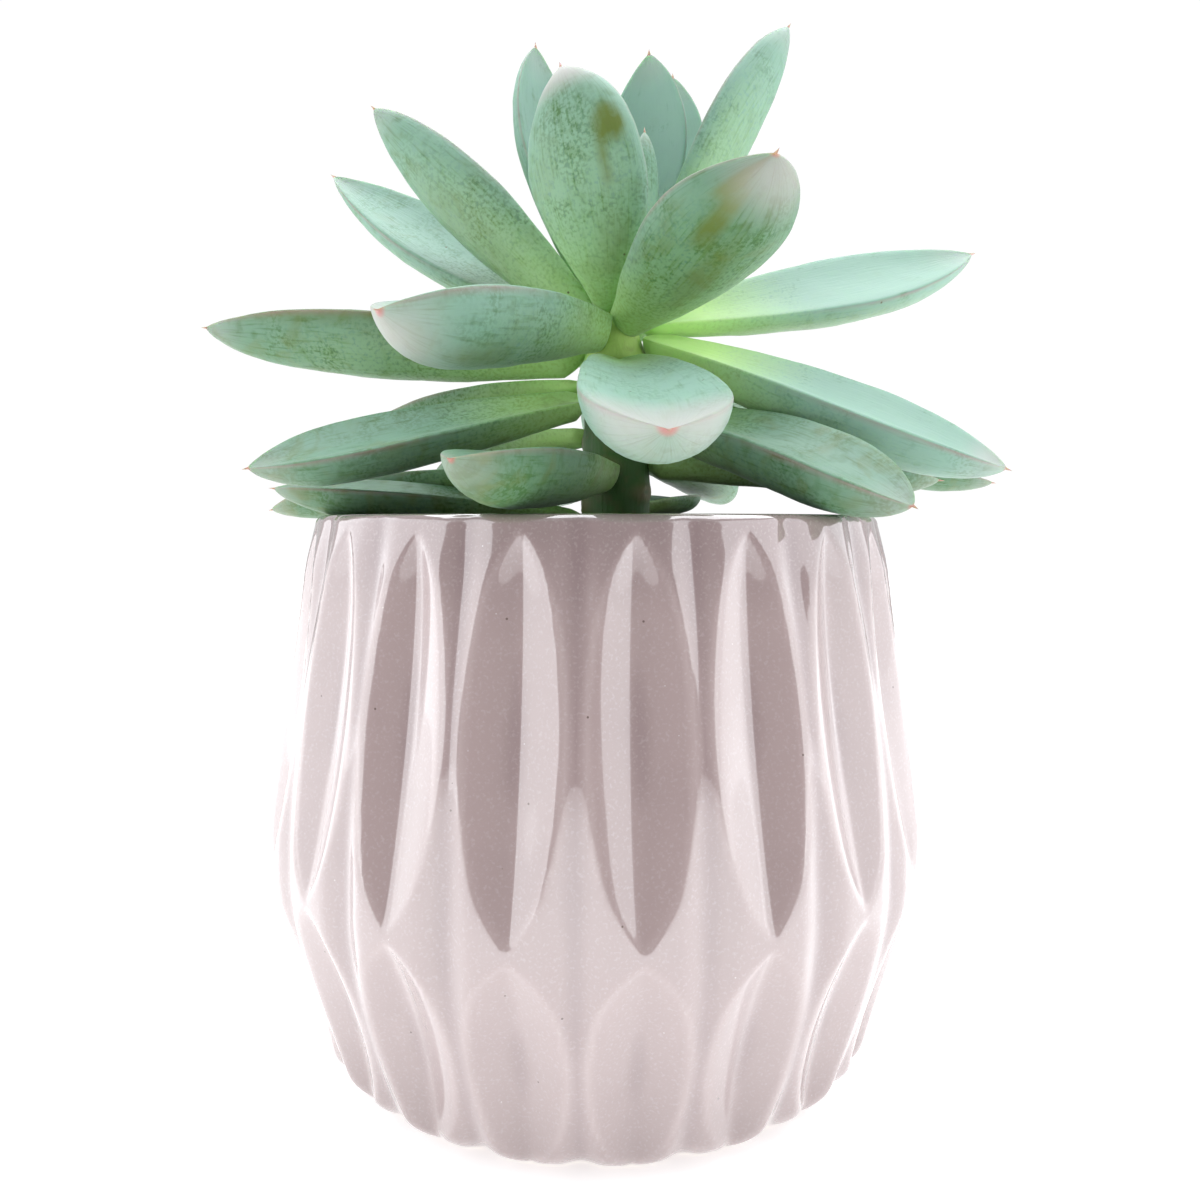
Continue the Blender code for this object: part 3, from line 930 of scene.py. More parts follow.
@dataclass
class SoilBed:
    """The soil in the pot, with loose crumbs and a few grains of perlite on it."""

    pot: FlutedPot
    edge: float = 57 * MM
    crown: float = SOIL_HEIGHT
    gap: float = 0.3 * MM
    cut_clearance: float = 1.8 * MM   # the pot's wall is this much further in behind its cuts
    heave: float = 1.1 * MM
    clods: float = 0.12 / MM          # lumps of the surface in a metre
    rings: int = 40
    sides: int = 120
    crumb: float = 0.9 * MM
    crumbs_per_area: float = 0.9e6
    perlite_per_area: float = 0.035e6
    perlite_share: float = 0.8        # a perlite grain's size, as a share of a crumb's
    level_enough: float = 0.45        # crumbs lie where the ground's normal points up this much
    smallest: Triple = (0.4, 0.4, 0.35)
    largest: Triple = (1.5, 1.3, 1.1)
    mix: PottingMix = field(default_factory=PottingMix)
    perlite: PottingMix = PottingMix(
        name="perlite", dark=(0.45, 0.43, 0.40), light=(0.78, 0.76, 0.72), lump=0.8 * MM, roughness=0.8
    )

    def surface_height(self, x: float, y: float) -> float:
        """Height of the soil's uneven top.

        Args:
            x: Place towards the plant's right.
            y: Place towards the back.

        Returns:
            The height there.
        """
        share = math.hypot(x, y) / self.pot.rim_radius
        lumps = noise.fractal(Vector((x, y, 0.0)) * self.clods, 0.8, 2.1, 4)
        return self.crown - (self.crown - self.edge) * share**2 + self.heave * (lumps - 0.3)

    def bed_mesh(self) -> bpy.types.Mesh:
        """Make a closed mound: its uneven top, its side against the wall and its base.

        Returns:
            The mesh.
        """
        pot = self.pot
        clear = pot.wall + self.cut_clearance + self.gap
        edge = pot.wall_radius(self.edge) - clear
        rings: list[list[Vector]] = []
        angles = [2 * math.pi * i / self.sides for i in range(self.sides)]
        for z in (pot.floor + self.gap, 12 * MM, 26 * MM, 45 * MM, self.edge - 3 * MM):
            radius = min(pot.wall_radius(z) - clear, edge)
            rings.append([Vector((radius * math.cos(a), radius * math.sin(a), z)) for a in angles])
        for ring in range(self.rings):
            radius = edge * (1 - ring / self.rings)
            flat = [(radius * math.cos(a), radius * math.sin(a)) for a in angles]
            rings.append([Vector((x, y, self.surface_height(x, y))) for x, y in flat])
        base = Vector((0, 0, pot.floor + self.gap))
        return lofted_mesh("soil_bed", rings, base, Vector((0, 0, self.surface_height(0, 0))))

    def crumb_recipe(
        self, density: float, size: float, seed: int, material: bpy.types.Material
    ) -> NodeRecipe:
        """Plan the strewing of rough lumps over the upward faces of a mesh.

        Args:
            density: Lumps in a square metre.
            size: A lump's mean radius.
            seed: Seed of the strewing.
            material: The lumps' material.

        Returns:
            The tree.
        """
        recipe = NodeRecipe("strew_crumbs", {"Density": density, "Crumb size": size, "Seed": seed})
        facing = recipe.add("GeometryNodeInputNormal").outputs[0]
        normal = recipe.add("ShaderNodeSeparateXYZ", Vector=facing)
        upward = recipe.number(normal.outputs["Z"]).join("GREATER_THAN", self.level_enough)
        strewn = recipe.add("GeometryNodeDistributePointsOnFaces",
                            Mesh=recipe.entry.outputs["Geometry"], Selection=upward,
                            Density=recipe.size("Density"), Seed=recipe.size("Seed"))
        lump = recipe.add("GeometryNodeMeshIcoSphere", Radius=1.0, Subdivisions=1)
        wobble = recipe.add("ShaderNodeTexNoise", Scale=1.3, Detail=2.0)
        place = recipe.add("GeometryNodeInputPosition").outputs[0]
        swell = recipe.number(wobble.outputs["Fac"]) * 1.5 + 0.2
        shaped = recipe.add("ShaderNodeVectorMath")
        shaped.operation = "SCALE"
        plug(recipe.tree, shaped.inputs[0], place)
        plug(recipe.tree, shaped.inputs["Scale"], swell)
        rough = recipe.add("GeometryNodeSetPosition",
                           Geometry=lump.outputs["Mesh"], Position=shaped.outputs[0])
        turn = recipe.add("FunctionNodeRandomValue")
        turn.data_type = "FLOAT_VECTOR"
        turn.inputs[1].default_value = (2 * math.pi,) * 3
        scale = recipe.add("FunctionNodeRandomValue")
        scale.data_type = "FLOAT_VECTOR"
        scale.inputs[0].default_value = self.smallest
        scale.inputs[1].default_value = self.largest
        for value in (turn, scale):
            plug(recipe.tree, next(e for e in value.inputs if e.name == "Seed"), recipe.size("Seed"))
        sized = recipe.add("ShaderNodeVectorMath")
        sized.operation = "SCALE"
        plug(recipe.tree, sized.inputs[0], scale.outputs[0])
        plug(recipe.tree, sized.inputs["Scale"], recipe.size("Crumb size"))
        laid = recipe.add("GeometryNodeInstanceOnPoints", Points=strewn.outputs["Points"],
                          Instance=rough.outputs[0], Rotation=turn.outputs[0], Scale=sized.outputs[0])
        recipe.close(laid.outputs[0], material)
        return recipe

    def build(self) -> None:
        """Make the bed, its crumbs and the perlite, and hand them over."""
        soil = self.mix.material()
        bed = new_piece("soil_bed", self.bed_mesh(), soil)
        hand_over(bed, "soil", "soil")
        white = self.perlite.material()
        strewn = (
            ("soil_crumbs", self.crumbs_per_area, self.crumb, 3, soil),
            ("perlite_grains", self.perlite_per_area, self.perlite_share * self.crumb, 11, white),
        )
        for name, density, size, seed, material in strewn:
            mesh = self.crumb_recipe(density, size, seed, material).run(bed.data.copy())
            hand_over(new_piece(name, mesh, material), "soil")


# ---------------------------------------------------------------- leaves


class Tone(Enum):
    """How a leaf's skin looks: amounts of bloom, of olive patches and of lime at the base."""

    YOUNG = (0.98, 0.10, 0.60)
    MATURE = (0.86, 0.30, 0.80)
    BRIGHT = (1.10, 0.10, 1.45)
    WORN = (0.54, 0.60, 0.90)
    OLD = (0.40, 0.80, 0.80)
    LIME = (0.40, 0.15, 1.30)


class Wear(Enum):
    """What has happened at a mark; the value is its place in the attribute leaf_marks."""

    RUBBED = 0
    BLUSHED = 1


class Mark(NamedTuple):
    """A place on a leaf where the bloom is rubbed off or blushed pink."""

    kind: Wear
    along: float                  # its middle, as a share of the length
    turn: float                   # degrees round the leaf: 90 upper face, 270 keel
    length: float                 # half its length, as a share
    spread: float                 # half its width, in degrees
    strength: float = 0.8


class Leaf(NamedTuple):
    """One leaf. Lengths are in millimetres and angles in degrees."""

    name: str
    scar_height: float            # where it leaves the stem
    scar_radius: float            # from the stem's middle line
    tip: Triple                   # the tip's place
    sag: float                    # how far the middle hangs below a straight line to the tip
    swing: float                  # how far the middle is pushed sideways, anticlockwise from above
    width: float
    thickness: float
    roll: float = 0.0             # turn about its own length
    widest: float = 0.60          # where along its length it is widest
    neck: float = 0.35            # width where it leaves the stem, as a share of the full width
    tone: Tone = Tone.MATURE
    point: float = 0.4            # 0 blunt tip, 1 sharp
    marks: tuple[Mark, ...] = ()


LEAVES = (
    # youngest, in the heart of the rosette
    Leaf("leaf_heart_1", 95.2, 0.9, (2.2, -3.2, 101.3), 0.2, 0.0, 2.2, 1.4, widest=0.55, neck=0.4,
         tone=Tone.YOUNG),
    Leaf("leaf_heart_2", 94.4, 0.9, (2.8, 2.6, 106.0), 0.4, 0.0, 4.6, 1.8, widest=0.55, neck=0.4,
         tone=Tone.YOUNG),
    Leaf("leaf_heart_3", 94.0, 1.3, (-1.8, -1.2, 110.5), 0.5, 0.0, 6.0, 2.0, widest=0.55, neck=0.35,
         tone=Tone.YOUNG),
    Leaf("leaf_heart_4", 93.6, 1.4, (5.9, -1.8, 112.8), 0.8, 0.0, 6.2, 2.2, widest=0.55, neck=0.35,
         tone=Tone.YOUNG),
    # upright leaves
    Leaf("leaf_upright_front", 92.4, 1.9, (-4.0, -10.0, 116.7), 3.0, 2.3, 15.5, 5.0, widest=0.55,
         neck=0.16, point=0.5, marks=(
             Mark(Wear.RUBBED, 0.70, 322, 0.06, 16, 1.3), Mark(Wear.RUBBED, 0.60, 304, 0.10, 5, 0.9),
             Mark(Wear.RUBBED, 0.53, 215, 0.03, 8, 0.5), Mark(Wear.RUBBED, 0.30, 310, 0.12, 22, 0.3),
             Mark(Wear.BLUSHED, 0.98, 270, 0.10, 120, 0.5))),
    Leaf("leaf_upright_left", 93.2, 1.9, (-8.0, 8.0, 127.5), 2.0, 0.0, 12.5, 4.0, neck=0.28,
         tone=Tone.YOUNG, point=0.7),
    Leaf("leaf_upright_back", 93.4, 2.2, (6.9, 8.0, 126.6), 1.2, -0.3, 12.0, 3.6, neck=0.28,
         tone=Tone.BRIGHT, point=0.7),
    Leaf("leaf_upright_far", 91.6, 3.2, (10.9, 20.0, 129.0), 3.0, -0.5, 12.0, 4.0, neck=0.28,
         tone=Tone.BRIGHT, point=0.6),
    Leaf("leaf_upright_right", 92.2, 3.4, (24.8, 6.0, 129.0), -1.0, 0.0, 12.0, 4.5, neck=0.22,
         tone=Tone.BRIGHT, point=0.9, roll=-35),
    Leaf("leaf_front_right", 90.3, 2.2, (17.7, -26.0, 101.3), 0.5, 0.6, 17.0, 6.0, widest=0.62,
         neck=0.22, point=0.3, tone=Tone.WORN, marks=(
             Mark(Wear.RUBBED, 0.93, 222, 0.08, 12, 1.3), Mark(Wear.RUBBED, 0.80, 238, 0.13, 10, 1.1),
             Mark(Wear.RUBBED, 0.55, 262, 0.22, 14, 0.5), Mark(Wear.BLUSHED, 1.00, 300, 0.16, 90, 0.35))),
    # spreading leaves
    Leaf("leaf_far_right", 90.8, 3.2, (52.5, 14.0, 102.6), 0.8, 0.0, 14.5, 5.5, roll=35, neck=0.3,
         point=0.9, tone=Tone.BRIGHT, marks=(Mark(Wear.RUBBED, 0.55, 215, 0.35, 30, 0.3),)),
    Leaf("leaf_rising_left", 90.8, 3.1, (-28.5, 4.0, 118.0), 0.0, -0.3, 12.5, 5.5, roll=30,
         widest=0.5, neck=0.3, point=0.8, marks=(Mark(Wear.RUBBED, 0.45, 275, 0.25, 40, 0.3),)),
    Leaf("leaf_rising_left_back", 89.4, 3.4, (-38.2, 20.0, 115.2), 0.2, 0.0, 12.0, 5.5, roll=-35,
         widest=0.5, neck=0.3, point=0.8),
    Leaf("leaf_level_left", 86.5, 5.0, (-51.0, 4.0, 90.5), -1.0, 0.0, 11.0, 7.8, roll=5, widest=0.5,
         point=0.8, tone=Tone.WORN, marks=(
             Mark(Wear.RUBBED, 0.62, 5, 0.3, 14, 0.7), Mark(Wear.RUBBED, 0.3, 350, 0.2, 30, 0.5))),
    Leaf("leaf_front_left", 89.6, 3.6, (-20.5, -31.0, 85.2), -1.0, 0.0, 12.5, 8.6, neck=0.32,
         point=0.0, widest=0.68, marks=(
             Mark(Wear.RUBBED, 0.72, 300, 0.10, 16, 0.5), Mark(Wear.BLUSHED, 0.98, 200, 0.2, 120, 0.4))),
    Leaf("leaf_long_right", 87.9, 4.6, (47.0, -13.0, 71.3), -1.0, 0.0, 13.0, 7.0, roll=22,
         point=0.4, tone=Tone.BRIGHT, marks=(Mark(Wear.BLUSHED, 0.99, 90, 0.08, 90, 0.3),)),
    Leaf("leaf_front_drooping", 85.0, 5.0, (5.9, -46.0, 72.6), -1.2, 0.0, 13.6, 7.0, widest=0.78,
         neck=0.32, point=0.0, marks=(Mark(Wear.BLUSHED, 0.95, 90, 0.12, 120, 0.5),)),
    # oldest leaves, which lean on the rim
    Leaf("leaf_rim_right_front", 78.0, 5.2, (31.4, -28.2, 66.8), -2.3, 0.0, 12.0, 7.2, roll=15,
         neck=0.45, point=0.2, tone=Tone.WORN),
    Leaf("leaf_rim_left_front", 80.5, 5.0, (-39.5, -14.0, 71.3), -0.5, 0.0, 11.0, 6.0, roll=-25,
         widest=0.65, neck=0.4, tone=Tone.WORN, point=0.5),
    Leaf("leaf_rim_left", 66.0, 5.2, (-40.0, -4.0, 69.4), -0.9, 0.0, 10.0, 5.0, roll=-10, neck=0.4,
         tone=Tone.OLD),
    Leaf("leaf_rim_left_back", 71.0, 5.2, (-46.8, 15.0, 67.0), -2.0, 0.0, 10.0, 5.0, neck=0.4,
         tone=Tone.OLD),
    Leaf("leaf_rim_front", 71.5, 5.0, (-12.3, -41.0, 70.6), -0.5, 0.0, 9.5, 6.6, neck=0.45,
         tone=Tone.OLD, point=0.1),
    Leaf("leaf_low_back_left", 83.0, 5.0, (-36.0, 28.0, 78.0), -2.0, 0.0, 10.0, 5.0, neck=0.4,
         tone=Tone.LIME),
    Leaf("leaf_low_back", 77.0, 5.0, (-26.0, 34.0, 71.0), -2.0, 0.0, 10.0, 4.5, neck=0.4,
         tone=Tone.LIME),
    Leaf("leaf_rim_right", 72.5, 5.0, (42.5, -4.0, 70.4), -1.0, 0.0, 9.0, 4.5, neck=0.4, tone=Tone.WORN),
    Leaf("leaf_rim_right_back", 83.0, 5.0, (54.0, 8.0, 70.6), 1.0, 0.0, 10.0, 4.5, roll=10, neck=0.4,
         tone=Tone.OLD),
    # leaves on the far side
    Leaf("leaf_back_high", 90.2, 3.4, (17.0, 42.0, 108.0), 1.0, 0.0, 12.0, 5.0, neck=0.3, point=0.8),
    Leaf("leaf_back_left", 87.6, 4.9, (-14.0, 44.0, 101.0), 0.5, 0.0, 12.0, 5.5, neck=0.35, point=0.6),
    Leaf("leaf_back_right", 85.6, 5.0, (30.0, 37.0, 84.0), -1.0, 0.0, 12.0, 5.5, neck=0.35),
    Leaf("leaf_back_drooping", 81.0, 5.0, (4.0, 47.0, 76.0), -3.0, 0.0, 12.0, 5.5, neck=0.4, point=0.1),
    Leaf("leaf_rim_back_right", 74.0, 5.2, (22.0, 38.0, 69.0), -2.0, 0.0, 10.0, 4.5, neck=0.4,
         tone=Tone.WORN),
    Leaf("leaf_rim_back", 70.5, 5.2, (-8.0, 42.0, 68.5), -2.5, 0.0, 9.5, 4.0, neck=0.4, tone=Tone.OLD),
    Leaf("leaf_rim_inner_right", 67.5, 5.2, (14.0, 21.0, 68.5), -0.5, 0.0, 8.0, 3.0, neck=0.4,
         tone=Tone.OLD),
)


@dataclass
class Rosette:
    """All the leaves, each a fleshy boat-shaped body on its own curve."""

    rings: int = 58
    sides: int = 40
    end_gap: float = 0.35             # the first and last ring's distance from the leaf's ends
    keel: float = 0.85
    margin_rounding: float = 0.30
    channel: float = 0.42
    section_lift: float = 0.1
    shoulder_curve: float = 1.6       # powers and shares that shape the outline
    base_thickness: float = 0.5
    blunt_fullness: float = 2.5
    point_taper: float = 0.6
    blunt_end: float = 0.70
    point_end: float = 0.15
    tip_thinning: float = 2.6
    blunt_base: float = 0.04
    root_depth: float = 1.1 * MM
    root_share: float = 0.12          # share of the length that is drawn into the stem
    nib_radius: float = 0.22 * MM
    nib_length: float = 0.7 * MM
    unevenness: float = 0.16 * MM
    broad_lumps: float = 0.16 / MM    # lumps in a metre
    fine_lumps: float = 0.55 / MM
    fine_share: float = 0.35
    mark_edge: float = 1.5            # how far past its size a mark fades out
    girth: float = 2.2                # way round a leaf, as a multiple of its width
    skin: LeafBloom = field(default_factory=LeafBloom)

    def outline(self, leaf: Leaf, share: float) -> tuple[float, float]:
        """Shape a leaf's outline.

        Args:
            leaf: The leaf.
            share: Where along its length, from 0 to 1.

        Returns:
            Half width and thickness there, as shares of the full ones.
        """
        if share < leaf.widest:
            inward = (leaf.widest - share) / leaf.widest
            closing = min(1.0, share / self.blunt_base) ** 0.5
            width = leaf.neck + (1 - leaf.neck) * (1 - inward**self.shoulder_curve)
            thickness = self.base_thickness + (1 - self.base_thickness) * (1 - inward**2)
            return width * closing, thickness * closing
        outward = min(1.0, (share - leaf.widest) / (1 - leaf.widest))
        fullness = self.blunt_fullness - self.point_taper * leaf.point
        width = (1 - outward**fullness) ** (self.blunt_end + self.point_end * leaf.point)
        return width, (1 - outward**self.tip_thinning) ** self.blunt_end

    def spine(self, leaf: Leaf) -> Callable[[float], tuple[Vector, Vector, Vector, Vector]]:
        """The leaf's curved middle line.

        Args:
            leaf: The leaf.

        Returns:
            A function from a share of the length to the place there and the directions
            along, across and above the leaf.
        """
        tip = Vector(leaf.tip) * MM
        scar = Vector((STEM_X, 0.0, leaf.scar_height * MM))
        outward = Vector((tip.x - scar.x, tip.y - scar.y, 0.0)).normalized()
        side = Vector((-outward.y, outward.x, 0.0))
        start = scar + outward * (leaf.scar_radius * MM)
        chord = tip - start
        upward = chord.normalized().cross(side)
        middle = start + chord / 2 - upward * (2 * leaf.sag * MM) + side * (2 * leaf.swing * MM)
        roll = math.radians(leaf.roll)

        def at(share: float) -> tuple[Vector, Vector, Vector, Vector]:
            """Follow the middle line.

            Args:
                share: Where along it, from 0 to 1.

            Returns:
                The place, and the directions along, across and above.
            """
            place = start * (1 - share) ** 2 + middle * (2 * share * (1 - share)) + tip * share**2
            along = ((middle - start) * (1 - share) + (tip - middle) * share).normalized()
            across = (side - along * side.dot(along)).normalized()
            above = along.cross(across)
            turned = across * math.cos(roll) + above * math.sin(roll)
            return place, along, turned, above * math.cos(roll) - across * math.sin(roll)

        return at

    def section(self, sine: float) -> float:
        """Shape a leaf's section: a shallow channel above and a keel below.

        Args:
            sine: 1 on the upper face's middle, 0 on the margins and -1 on the keel.

        Returns:
            Height over the section's middle, as a share of the thickness.
        """
        if sine >= 0:
            return self.margin_rounding * sine - self.channel * sine * sine + self.section_lift
        return self.keel * sine + self.section_lift

    def shares(self) -> list[float]:
        """Where the rings lie along a leaf, closer together at its two ends."""
        span = self.rings - 1 + 2 * self.end_gap
        return [(1 - math.cos(math.pi * (i + self.end_gap) / span)) / 2 for i in range(self.rings)]

    def leaf_mesh(self, leaf: Leaf) -> bpy.types.Mesh:
        """Make one leaf's skin.

        Args:
            leaf: The leaf.

        Returns:
            The mesh, with its places, tone and marks kept as attributes and a UV map.
        """
        at = self.spine(leaf)
        rings: list[list[Vector]] = []
        places: list[Triple] = []
        turns = [2 * math.pi * i / self.sides for i in range(self.sides)]
        shares = self.shares()
        for share in shares:
            middle, along, across, above = at(share)
            width, thickness = self.outline(leaf, share)
            half = max(leaf.width / 2 * MM * width, self.nib_radius)
            depth = max(leaf.thickness * MM * thickness, self.nib_radius)
            middle = middle - along * (self.root_depth * smooth_step(1 - share / self.root_share))
            ring = []
            for turn in turns:
                cosine, sine = math.cos(turn), math.sin(turn)
                point = middle + across * (half * cosine) + above * (depth * self.section(sine))
                outward = across * cosine + above * sine
                ring.append(point + outward * (self.lump(point) * min(1.0, 4 * width)))
                places.append((cosine, sine, share))
            rings.append(ring)
        start_place, start_along, _, _ = at(0.0)
        tip_place, tip_along, _, _ = at(1.0)
        root = start_place - start_along * self.root_depth
        nib = tip_place + tip_along * self.nib_length
        mesh = lofted_mesh(leaf.name, rings, root, nib)
        places = [(0.0, 0.0, 0.0), *places, (0.0, 0.0, 1.0)]
        write_vectors(mesh, "leaf_place", places)
        write_vectors(mesh, "leaf_tone", [leaf.tone.value] * len(places))
        write_vectors(mesh, "leaf_marks", [self.marks(leaf, place) for place in places])
        self.write_skin_map(mesh, places, (tip_place - start_place).length, leaf.width * MM)
        return mesh

    def lump(self, point: Vector) -> float:
        """How far a leaf's skin stands out at a place, or in where it is below 0."""
        fine = noise.noise(point * self.fine_lumps)
        return self.unevenness * (noise.noise(point * self.broad_lumps) + self.fine_share * fine)

    def marks(self, leaf: Leaf, place: Triple) -> Triple:
        """Look up a leaf's marks.

        Args:
            leaf: The leaf.
            place: Cosine and sine of the way round it, and the share of its length.

        Returns:
            Strength of each kind of wear there; the last number is spare.
        """
        found = [0.0, 0.0, 0.0]
        angle = math.degrees(math.atan2(place[1], place[0])) % 360
        for mark in leaf.marks:
            turn = (angle - mark.turn + 180) % 360 - 180
            reach = math.hypot((place[2] - mark.along) / mark.length, turn / mark.spread)
            strength = mark.strength * smooth_step(self.mark_edge - reach)
            found[mark.kind.value] = max(found[mark.kind.value], strength)
        return found[0], found[1], found[2]

    def write_skin_map(
        self, mesh: bpy.types.Mesh, places: Sequence[Triple], length: float, width: float
    ) -> None:
        """Lay the leaf's own UV map: round it and along it, in millimetres.

        Args:
            mesh: The leaf's mesh.
            places: Cosine and sine of the way round, and the share of the length, at each vertex.
            length: The leaf's length.
            width: The leaf's width.
        """
        layer = mesh.uv_layers.new(name="skin")
        for face in mesh.polygons:
            angles = {}
            for corner in face.loop_indices:
                x, y, _ = places[mesh.loops[corner].vertex_index]
                angles[corner] = (math.atan2(y, x) / (2 * math.pi)) % 1.0
            if max(angles.values()) - min(angles.values()) > 0.5:
                angles = {corner: turn + (turn < 0.5) for corner, turn in angles.items()}
            for corner, turn in angles.items():
                share = places[mesh.loops[corner].vertex_index][2]
                layer.data[corner].uv = (turn * self.girth * width / MM, share * length / MM)

    def build(self) -> None:
        """Make every leaf and hand it over."""
        skin = self.skin.material()
        for leaf in LEAVES:
            piece = new_piece(leaf.name + "_skin", self.leaf_mesh(leaf), skin)
            hand_over(piece, "leaf", leaf.name)


# ---------------------------------------------------------------- stem


@dataclass
class Stem:
    """The stem: ridged, ringed with the scars of lost leaves, and narrowing into the crown."""

    foot: float = 45.6 * MM
    top: float = 96.0 * MM
    radius: float = 4.3 * MM
    neck_height: float = 85.5 * MM
    fullness: float = 0.97            # mean radius below the neck, as a share of the full one
    swelling: float = 0.03
    swelling_length: float = 9 * MM
    neck_taper: float = 0.78
    neck_curve: float = 0.8
    sides: int = 64
    rings: int = 110
    scars: int = 13
    scar_width: float = 0.62          # half a scar's width, in radians round the stem
    scar_height: float = 1.3 * MM
    scar_rise: float = 0.32 * MM
    lump_length: float = 3 * MM
    lump_rise: float = 0.12 * MM
    ridges: int = 9
    ridge_rise: float = 0.05 * MM
    skin: StemSkin = field(default_factory=StemSkin)

    def radius_at(self, z: float) -> float:
        """Mean radius of the stem.

        Args:
            z: Height.

        Returns:
            The radius there.
        """
        if z < self.neck_height:
            swell = self.swelling * math.sin((z - self.foot) / self.swelling_length)
            return self.radius * (self.fullness + swell)
        share = (z - self.neck_height) / (self.top - self.neck_height)
        return self.radius * (self.fullness - self.neck_taper * share**self.neck_curve)

    def scar_places(self) -> list[tuple[float, float]]:
        """Place the leaf scars round the stem by the golden angle.

        Returns:
            Direction and height of each.
        """
        golden = math.radians(137.5)
        first = SOIL_HEIGHT + 2 * MM
        climb = (self.neck_height - 6 * MM - SOIL_HEIGHT) / self.scars
        return [(i * golden, first + i * climb) for i in range(self.scars)]

    def scar_at(self, angle: float, z: float) -> float:
        """How much of a scar lies at a place on the stem.

        Args:
            angle: Direction from the stem's middle line.
            z: Height.

        Returns:
            0 between the scars and up to 1 on a scar's raised ring.
        """
        mark = 0.0
        for direction, height in self.scar_places():
            turn = (angle - direction + math.pi) % (2 * math.pi) - math.pi
            reach = math.hypot(turn / self.scar_width, (z - height) / self.scar_height)
            mark = max(mark, smooth_step(1.35 - reach) * (0.35 + 0.65 * smooth_step(2.5 * reach)))
        return mark

    def build(self) -> None:
        """Make the stem and hand it over."""
        rings: list[list[Vector]] = []
        scarred = [0.0]
        for step in range(self.rings + 1):
            z = self.foot + (self.top - self.foot) * step / self.rings
            ring = []
            for side in range(self.sides):
                angle = 2 * math.pi * side / self.sides
                cosine, sine = math.cos(angle), math.sin(angle)
                mark = self.scar_at(angle, z)
                lumps = noise.noise(Vector((cosine, sine, z / self.lump_length)) * 1.4)
                radius = self.radius_at(z) + self.scar_rise * mark + self.lump_rise * lumps
                radius += self.ridge_rise * math.cos(self.ridges * angle)
                ring.append(Vector((STEM_X + radius * cosine, radius * sine, z)))
                scarred.append(mark)
            rings.append(ring)
        scarred.append(0.0)
        ends = (Vector((STEM_X, 0, self.foot)), Vector((STEM_X, 0, self.top)))
        mesh = lofted_mesh("stem_skin", rings, *ends)
        write_vectors(mesh, "leaf_scar", [(mark, 0.0, 0.0) for mark in scarred])
        hand_over(new_piece("stem_skin", mesh, self.skin.material()), "stem", "stem")


# ---------------------------------------------------------------- studio


class Softbox(NamedTuple):
    """A rectangular soft light that faces the plant."""

    name: str
    azimuth: float                # degrees clockwise from the camera's side, as seen from above
    rise: float                   # degrees above the plant's middle
    distance: float               # from the plant's middle
    size: tuple[float, float]     # width and height
    glow: float                   # how bright its face looks, where 1 is white


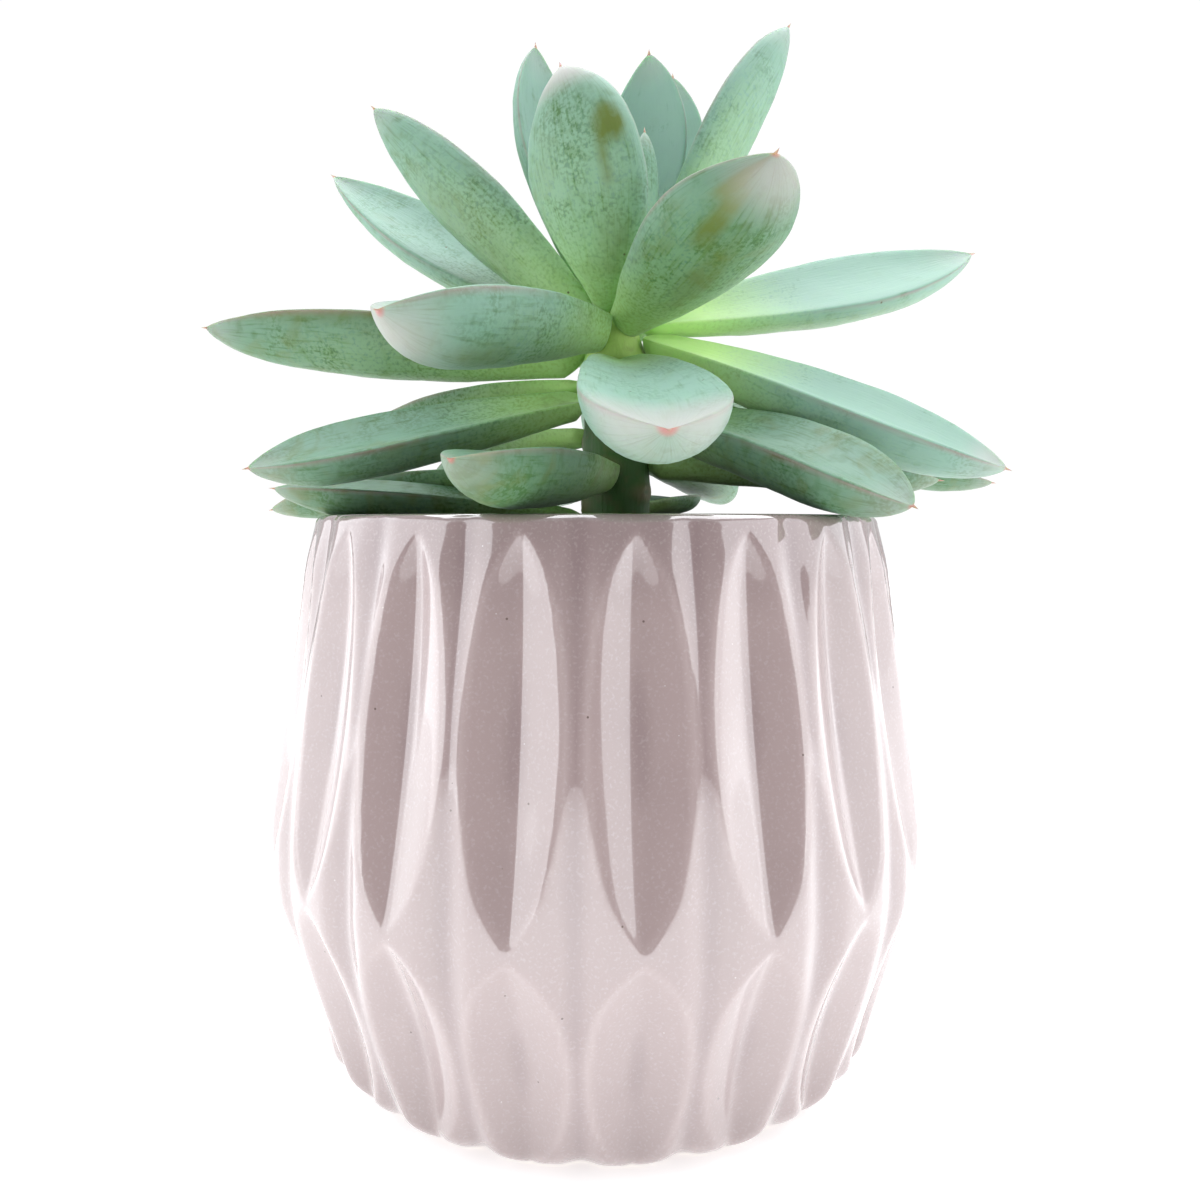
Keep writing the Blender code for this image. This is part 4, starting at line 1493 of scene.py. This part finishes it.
@dataclass
class Studio:
    """Camera, soft lights and floor."""

    camera_place: Triple = (0.45 * MM, -122.45 * MM, 65.2 * MM)
    camera_tilt: float = math.radians(85.3)
    lens: float = 28.47
    sensor_width: float = 36.0
    floor_radius: float = 4.0
    middle: Triple = (0.0, 0.0, 60 * MM)
    light_color: Color = (0.94, 0.97, 1.0)
    softboxes: tuple[Softbox, ...] = (
        Softbox("left_softbox", 84, 12, 0.60, (0.90, 0.75), 1.45),
        Softbox("right_softbox", -84, 12, 0.60, (0.90, 0.75), 1.25),
        Softbox("top_softbox", 195, 76, 0.80, (1.1, 0.9), 3.6),
    )
    surround: float = 0.62            # glow of the studio's walls
    front_surround: float = 0.18      # and of the wall behind the camera
    front_edge: tuple[float, float] = (-0.78, -0.55)
    backdrop: float = 1.02            # how bright the walls look to the camera itself
    floor: StudioFloor = field(default_factory=StudioFloor)

    def hang(self, box: Softbox) -> None:
        """Hang one softbox, out of the camera's sight.

        Args:
            box: The softbox.
        """
        light = bpy.data.lights.new(box.name, "AREA")
        light.shape = "RECTANGLE"
        light.size, light.size_y = box.size
        light.energy = box.glow * math.pi * box.size[0] * box.size[1]
        light.color = self.light_color
        lamp = bpy.data.objects.new(box.name, light)
        lamp.visible_camera = False
        turn, lift = math.radians(box.azimuth), math.radians(box.rise)
        flat = math.cos(lift)
        away = Vector((-math.sin(turn) * flat, -math.cos(turn) * flat, math.sin(lift)))
        lamp.location = Vector(self.middle) + away * box.distance
        lamp.rotation_euler = away.to_track_quat("Z", "Y").to_euler()
        bpy.context.scene.collection.objects.link(lamp)

    def paint_surround(self) -> None:
        """White walls all round, darker behind the camera and plain white where it looks."""
        world = bpy.data.worlds.new("studio_surround")
        world.use_nodes = True
        tree = world.node_tree
        sky = tree.nodes["Background"]
        sky.inputs["Color"].default_value = (1.0, 1.0, 1.0, 1.0)
        seen = Quantity(tree, tree.nodes.new("ShaderNodeLightPath").outputs["Is Camera Ray"])
        toward = tree.nodes.new("ShaderNodeSeparateXYZ")
        tree.links.new(tree.nodes.new("ShaderNodeTexCoord").outputs["Generated"], toward.inputs[0])
        side = Quantity(tree, toward.outputs["Y"]).rise(*self.front_edge)
        glow = side * (self.surround - self.front_surround) + self.front_surround
        plug(tree, sky.inputs["Strength"], glow * (1.0 - seen) + seen * self.backdrop)
        bpy.context.scene.world = world

    def lay_floor(self) -> None:
        """Lay the floor."""
        shape = bmesh.new()
        bmesh.ops.create_circle(shape, cap_ends=True, segments=96, radius=self.floor_radius)
        mesh = bpy.data.meshes.new("studio_floor")
        shape.to_mesh(mesh)
        shape.free()
        new_piece("studio_floor", mesh, self.floor.material())

    def place_camera(self) -> None:
        """Place the camera a little below the rim's height, looking slightly down."""
        data = bpy.data.cameras.new("camera")
        data.lens = self.lens
        data.sensor_width = self.sensor_width
        data.clip_start = 1 * MM
        camera = bpy.data.objects.new("camera", data)
        camera.location = self.camera_place
        camera.rotation_euler = (self.camera_tilt, 0.0, 0.0)
        bpy.context.scene.collection.objects.link(camera)
        bpy.context.scene.camera = camera

    def build(self) -> None:
        """Set up the whole studio."""
        for box in self.softboxes:
            self.hang(box)
        self.paint_surround()
        self.lay_floor()
        self.place_camera()
        bpy.context.scene.view_settings.view_transform = "Standard"


def main() -> None:
    """Build the pieces in order."""
    logging.basicConfig(level=logging.INFO, format="%(name)s %(message)s")
    pot = FlutedPot()
    pot.build()
    SoilBed(pot).build()
    Stem().build()
    Rosette().build()
    Studio().build()


if __name__ == "__main__":
    main()
